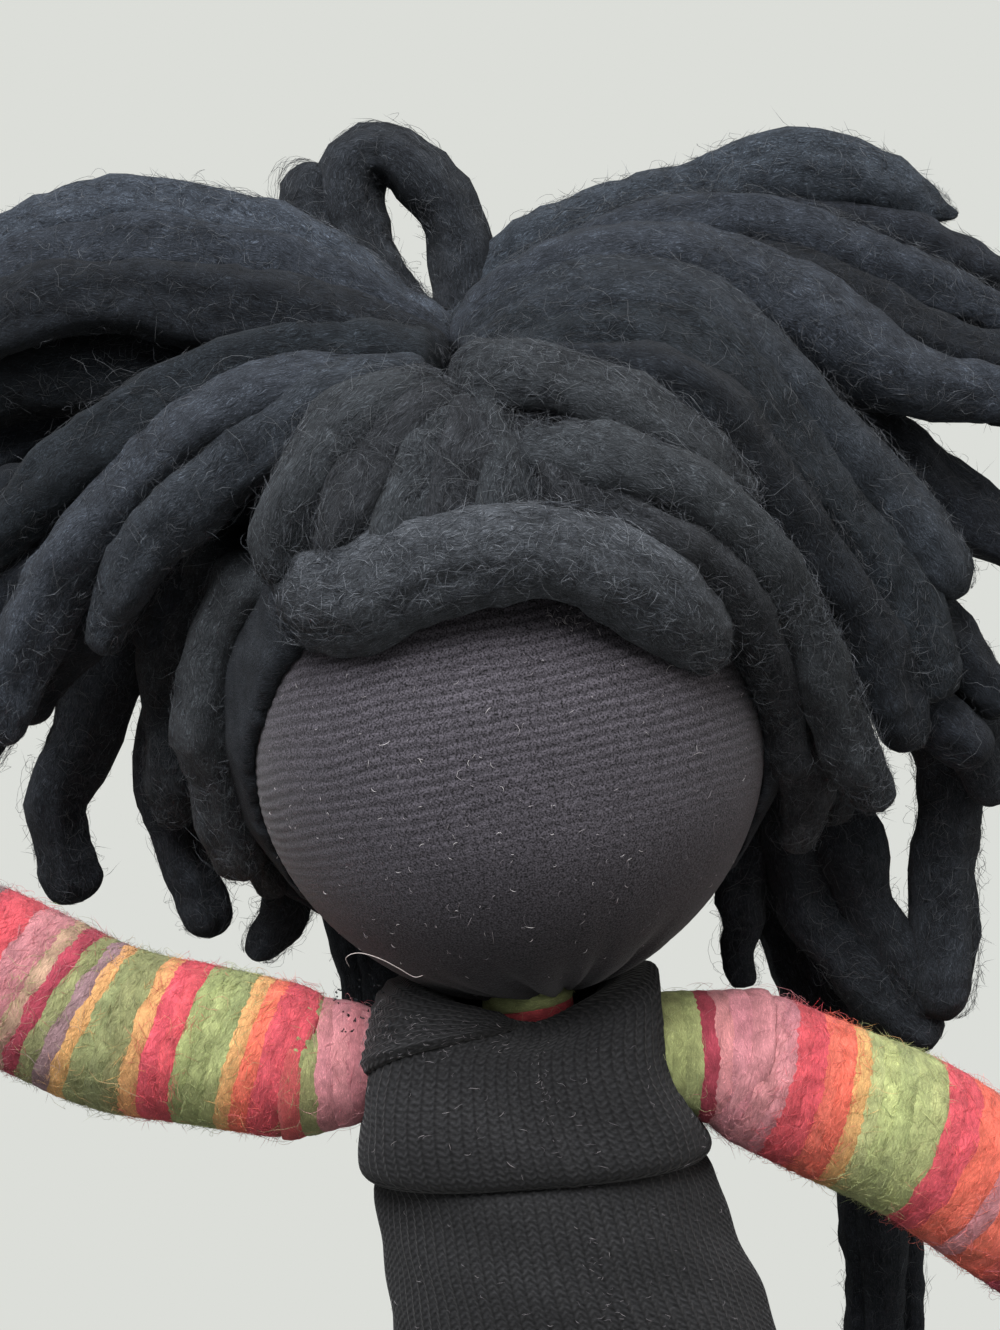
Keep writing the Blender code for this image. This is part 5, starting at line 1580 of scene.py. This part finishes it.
def dress_tube(name, levels, rows):
    """A knitted tube on the dress's outside, with its columns of stitches raised."""
    surface, length = dress_surface(levels)

    def place(around, along):
        wale = WALE_DEPTH / MM * np.cos(TURN * around * DRESS_WALES)
        lay = np.stack([along, around, 0 * along], axis=-1)
        return surface(around * TURN, along, wale), lay, linear(KNIT_COLOUR)

    made = thickened(skin(name, DRESS_WALES * STEPS_A_WALE, rows, place), KNIT_THICK)
    made.data.materials.append(knit_material(name + "_knit", DRESS_WALES, length / (COURSE / MM)))
    return made


BODICE = ((154.2, -23.8, 23.6, 15.2, 0), (154.8, -25.4, 25.2, 16.7, 0), (156.6, -26.4, 25.8, 17.8, 0),
          (160.0, -26.1, 24.0, 17.9, 0), (166.0, -25.1, 21.2, 17.1, 0.3), (170.5, -24.2, 19.9, 16.1, 1.0),
          (174.5, -22.6, 19.6, 14.8, 3.0), (177.2, -19.9, 19.6, 12.9, 4.9), (179.2, -16.4, 17.2, 11.0, 4.4),
          (180.0, -12.8, 12.8, 9.4, 2.4), (179.2, -11.2, 10.6, 8.2, 1.4))
LOWER = ((155.4, -23.0, 22.8, 14.4, 0), (154.4, -24.0, 24.4, 15.6, 0), (152.4, -24.6, 26.0, 16.8, 0),
         (148.0, -24.5, 27.0, 17.2, 0), (141.0, -24.1, 28.8, 17.8, 0), (133.0, -23.7, 32.0, 18.3, 0),
         (126.0, -23.3, 33.6, 18.6, 0), (120.0, -23.0, 33.6, 18.4, 0), (115.4, -22.5, 33.2, 17.8, 0))
bodice = dress_tube("dress_bodice_knit_piece", BODICE, 36)
lower = dress_tube("dress_lower_knit_piece", LOWER, 42)
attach(bodice, "torso")
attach(lower, "torso")
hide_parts("dress_bodice")
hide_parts("dress_lower")

# %% [markdown]
# The strap is the sock's cut end, folded over the shoulder at the left. It widens from a tip at
# the neckline to the whole shoulder, its lower edge is a rolled fold, and its stitches run
# sideways. It lies on the bodice, so it is placed by the bodice's own angle and length.

# %% The strap
STRAP_TURNS = (-0.12, -0.50, -0.90, -1.25, -1.60, -1.85)
STRAP_LOW = (0.86, 0.72, 0.61, 0.52, 0.46, 0.43)
STRAP_HIGH = (0.93, 0.93, 0.92, 0.91, 0.90, 0.90)
STRAP_THICK = 1.3 * MM
STRAP_ROLL = 0.55 * MM
STRAP_GAP = 0.15 * MM
STRAP_WALES = 20
STRAP_COURSES = 34
STRAP_ROWS = 70


def strap_place(around, along):
    """A flat band on the bodice: out over its face, round its edge and back beneath."""
    surface = dress_surface(BODICE)[0]
    where = np.linspace(0, 1, len(STRAP_TURNS))
    angle = np.interp(along, where, STRAP_TURNS)
    across = 1 - np.abs(2 * around - 1)
    low, high = np.interp(along, where, STRAP_LOW), np.interp(along, where, STRAP_HIGH)
    tip = np.sqrt(np.clip(along / 0.10, 0, 1) * np.clip((1 - along) / 0.05, 0, 1))
    middle = (low + high) / 2
    share = middle + (across - 0.5) * (high - low) * tip
    base = surface(angle, share)
    turn_way = unit(surface(angle + 0.01, share) - surface(angle - 0.01, share))
    up_way = unit(surface(angle, share + 0.01) - surface(angle, share - 0.01))
    outward = np.cross(turn_way, up_way)
    edge = np.clip(1 - np.abs(2 * across - 1) ** 5, 0, 1) ** 0.5 * tip
    roll = STRAP_ROLL * np.exp(-((across - 0.10) / 0.09) ** 2) * tip
    wale = WALE_DEPTH * np.cos(TURN * around * STRAP_WALES)
    lumps = np.array([noise.noise(Vector(point) * 330) for point in base]) * 0.35 * MM
    top = np.where(around <= 0.5, edge * (STRAP_THICK + roll + wale + lumps), 0)
    lay = np.stack([along, around, 0 * along], axis=-1)
    return base + outward * (STRAP_GAP + top)[:, None], lay, linear(KNIT_COLOUR)


strap = skin("dress_strap_knit_piece", STRAP_WALES * 6, STRAP_ROWS, strap_place)
strap.data.materials.append(knit_material("dress_strap_knit", STRAP_WALES, STRAP_COURSES))
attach(strap, "torso")
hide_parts("dress_strap")

# %% [markdown]
# Black knit shows every fluff. Pale fibres lie on the strap, which handling has roughed up most,
# and in one line down the front of the dress.

# %% Lint on the dress


def dress_lint(levels, count, angle, along, length, rise):
    """Short fibres that lie on the dress about a line, given by its angles and shares of length."""
    surface, tall = dress_surface(levels)
    share = np.linspace(0, 1, LINT_POINTS)
    middle = luck.uniform(0, 1, count)
    spread = luck.normal(0, 1, (2, count))
    turn = np.interp(middle, (0, 1), angle[:2]) + angle[2] * spread[0]
    level = np.clip(np.interp(middle, (0, 1), along[:2]) + along[2] * spread[1], 0.02, 0.98)
    way = luck.uniform(0, TURN, count)[:, None]
    way = way + np.cumsum(luck.normal(0, 0.5, (count, LINT_POINTS)), axis=1)
    size = luck.uniform(0.4, 1, count)[:, None] * length / LINT_POINTS
    turn = turn[:, None] + np.cumsum(np.cos(way), axis=1) * size / 18
    level = np.clip(level[:, None] + np.cumsum(np.sin(way), axis=1) * size / tall, 0.02, 0.98)
    lift = rise + luck.uniform(0, 0.5, (count, 1)) * np.sin(share * math.pi)
    return surface(turn.ravel(), level.ravel(), lift.ravel()).reshape(count, LINT_POINTS, 3)


knit_lint_paths = np.concatenate([
    dress_lint(BODICE, 150, (-0.35, -1.30, 0.16), (0.82, 0.70, 0.07), 1.6, 1.7),
    dress_lint(BODICE, 30, (0.12, 0.16, 0.02), (0.75, 0.25, 0.05), 1.2, 0.4),
    dress_lint(LOWER, 60, (0.16, 0.26, 0.03), (0.20, 0.98, 0.05), 1.2, 0.3),
    dress_lint(BODICE, 60, (-1.2, 1.2, 0.3), (0.6, 0.3, 0.2), 1.8, 0.3),
    dress_lint(LOWER, 70, (-1.2, 1.2, 0.3), (0.6, 0.4, 0.2), 1.5, 0.3)])
knit_lint = strands("dress_lint", knit_lint_paths,
                    pick_colours(LINT_CODES[:3], len(knit_lint_paths)), HALO_THICK)
knit_lint.data.materials.append(bpy.data.materials["lint"])
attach(knit_lint, "torso")
for cloth in (bodice, lower, strap):
    print(cloth.name, "area, m2:", round(cloth_area(cloth), 5))

# %% [markdown]
# A pale bit of thread has fallen on the strap, and small black curls of hair wool have caught on
# the shoulder around it. They are thin strands like the lint, but thicker, and share one piece.

# %% Fallen thread and wool
THREAD_THICK = 0.16 * MM
CRUMB_THICK = 0.26 * MM
CRUMB_STEP = 0.28
CRUMB_DEPTH = -13.5
CRUMBS_A_PLACE = 3
THREAD_ROUTE = ((350, 968, -26), (346, 958, -27), (358, 953, -27), (378, 958, -27), (398, 968, -26),
                (414, 977, -25), (424, 975, -25))
CRUMB_PLACES = ((346, 985), (352, 996), (344, 1008), (356, 1020), (372, 1012), (366, 978), (350, 1030),
                (338, 996), (384, 1028), (380, 990))


def crumbs():
    """Small black curls of hair wool, caught on the shoulder."""
    made = []
    for x, y in CRUMB_PLACES * CRUMBS_A_PLACE:
        centre = from_picture(x + luck.normal(0, 4), y + luck.normal(0, 4), CRUMB_DEPTH)
        steps = np.cumsum(luck.normal(0, 0.5, (7, 3)), axis=0) * CRUMB_STEP * MM
        made.append(centre + steps)
    return np.array(made)


pale_thread = smooth_path(pictured(THREAD_ROUTE), 5)[None]
thread_bit = strands("thread_bit", pale_thread, pick_colours(("a59c98",), 1), THREAD_THICK)
curls = crumbs()
crumb_bits = strands("crumb_bits", curls, pick_colours(("121416", "1b1e22"), len(curls)), CRUMB_THICK)
fluff = combine("fallen_fluff", [thread_bit, crumb_bits])
fluff.data.materials.clear()
fluff.data.materials.append(bpy.data.materials["lint"])
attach(fluff, "torso")
print("fluff, faces:", len(fluff.data.polygons))

# %% [markdown]
# The dress has short legs, which nothing shows. Each is a tube of the same knit that moves with its
# thigh. Its top narrows inside the dress's hem, so that the leg can swing forwards under it, and
# its lower edge swells as a hem does. Its shape is given as how far below the hip each radius lies.

# %% The short legs of the dress
CUFF_WALES = 62
CUFF_COURSES = 30
CUFF_TOP = 12.5 * MM
CUFF_LENGTH = 32.8 * MM
CUFF_DROPS = np.array([-12.5, -11, -9.5, -6, -3, 0, 12, 17.2, 17.8, 19.4, 20.3]) * MM
CUFF_RADII = np.array([7.9, 9.8, 11.3, 13.5, 14.5, 14.8, 15.0, 15.0, 14.7, 15.2, 14.6]) * MM

for side in ("left", "right"):
    hip = joints[f"hip_{side}"]

    def cuff_place(around, along, hip=hip):
        angle = around * TURN
        up = CUFF_TOP - along * CUFF_LENGTH
        reach = np.interp(-up, CUFF_DROPS, CUFF_RADII) + WALE_DEPTH * np.cos(angle * CUFF_WALES)
        reach = reach + 0.35 * MM * np.sin(3 * angle + up * 300)
        points = np.stack([reach * np.sin(angle), -reach * np.cos(angle), up], axis=-1)
        lay = np.stack([along, around, 0 * along], axis=-1)
        return hip + points, lay, linear(KNIT_COLOUR)

    cuff = thickened(skin(f"dress_leg_{side}_knit_piece", CUFF_WALES * STEPS_A_WALE, CUFF_COURSES,
                          cuff_place), KNIT_THICK)
    cuff.data.materials.append(knit_material(f"dress_leg_{side}_knit", CUFF_WALES, CUFF_COURSES))
    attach(cuff, f"thigh_{side}")
    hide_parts(f"dress_leg_{side}")
    print(side, "cuff area, m2:", round(cloth_area(cuff), 5))

# %% [markdown]
# Inside the dress the body is wound too, at a wider pitch than the arms, because it is only
# padding. Its section is an oval, so its route squeezes what a round one gives. It leans a little
# to the left on its way up, as the doll does.

# %% The wound torso
CORE_RADIUS = 19.4 * MM
CORE_DEPTH_SHARE = 0.68
CORE_POINTS = 20
core_low, core_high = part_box("torso_core")
core_middle = (core_low[0] + core_high[0]) / 2
core_line = np.linspace((core_middle + 1 * MM, HEAD[1], core_low[2] + 1 * MM),
                        (core_middle - 2 * MM, HEAD[1], core_high[2] - 2 * MM), CORE_POINTS)


class OvalRoute(Route):
    """A route whose section is wider than it is deep."""

    def at(self, distance, angle, reach):
        place = super().at(distance, angle, reach)
        middle = self.read(self.points, distance)
        return middle + (place - middle) * np.array([1.0, CORE_DEPTH_SHARE, 1.0])


core = winding("torso_winding_wool", OvalRoute(core_line, np.full(CORE_POINTS, CORE_RADIUS)),
               sequence(LEG_DYES, LEG_BAND, 1), 0.0, pitch=3.0 * MM, width=4.2 * MM)
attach(core, "torso")
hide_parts("torso_core")
print("torso, faces:", len(core.data.polygons))

# %% [markdown]
# Some pieces of the frame have the right shape already and only need their real finish: the bare
# wires, the foam ball and the thread that binds the gather.

# %% Finishes of the frame's own pieces


def plain_finish(name, code, roughness, metallic, scale, depth):
    """A material with a fine mottle in its colour and its surface."""
    made, tree, output = new_material(name)
    where = add(tree, "TexCoord")
    grain = add(tree, "TexNoise", {"Vector": where.outputs["Object"], "Scale": scale, "Detail": 4.0})
    light = add(tree, "MapRange", {0: grain.outputs[0], 1: 0.3, 2: 0.7, 3: 0.8, 4: 1.15})
    colour = add(tree, "VectorMath", {0: linear(code)[:3], "Scale": light.outputs[0]}, operation="SCALE")
    bump = add(tree, "Bump", {"Height": grain.outputs[0], "Distance": depth, "Strength": 0.6})
    shader = add(tree, "BsdfPrincipled", {"Base Color": colour.outputs[0], "Roughness": roughness,
                                          "Metallic": metallic, "Normal": bump.outputs[0]})
    finish_material(tree, output, shader)
    return made


drawn_wire = plain_finish("drawn_steel_wire", "8d8f92", 0.38, 1.0, 900.0, 0.02 * MM)
foam = plain_finish("polystyrene_foam", "f2f1ec", 0.85, 0.0, 420.0, 0.20 * MM)
thread = plain_finish("black_cotton_thread", "1d1d1f", 0.80, 0.0, 2600.0, 0.08 * MM)
finishes = {name: drawn_wire for name in frame["nodes"] if name.endswith("_wire") or "_wire_" in name}
finishes.update(head_ball=foam, gather_thread=thread)
for name, finish in finishes.items():
    frame["nodes"][name].data.materials.clear()
    frame["nodes"][name].data.materials.append(finish)
print("pieces finished in place:", len(finishes))

# %% Sizes and the end
counts = {}
for thing in bpy.context.scene.objects:
    if thing.type == "MESH" and not thing.hide_render:
        thing.data.calc_loop_triangles()
        counts[thing.name] = len(thing.data.loop_triangles)
print("triangles:", sum(counts.values()), "most in one piece:", max(counts.values()))
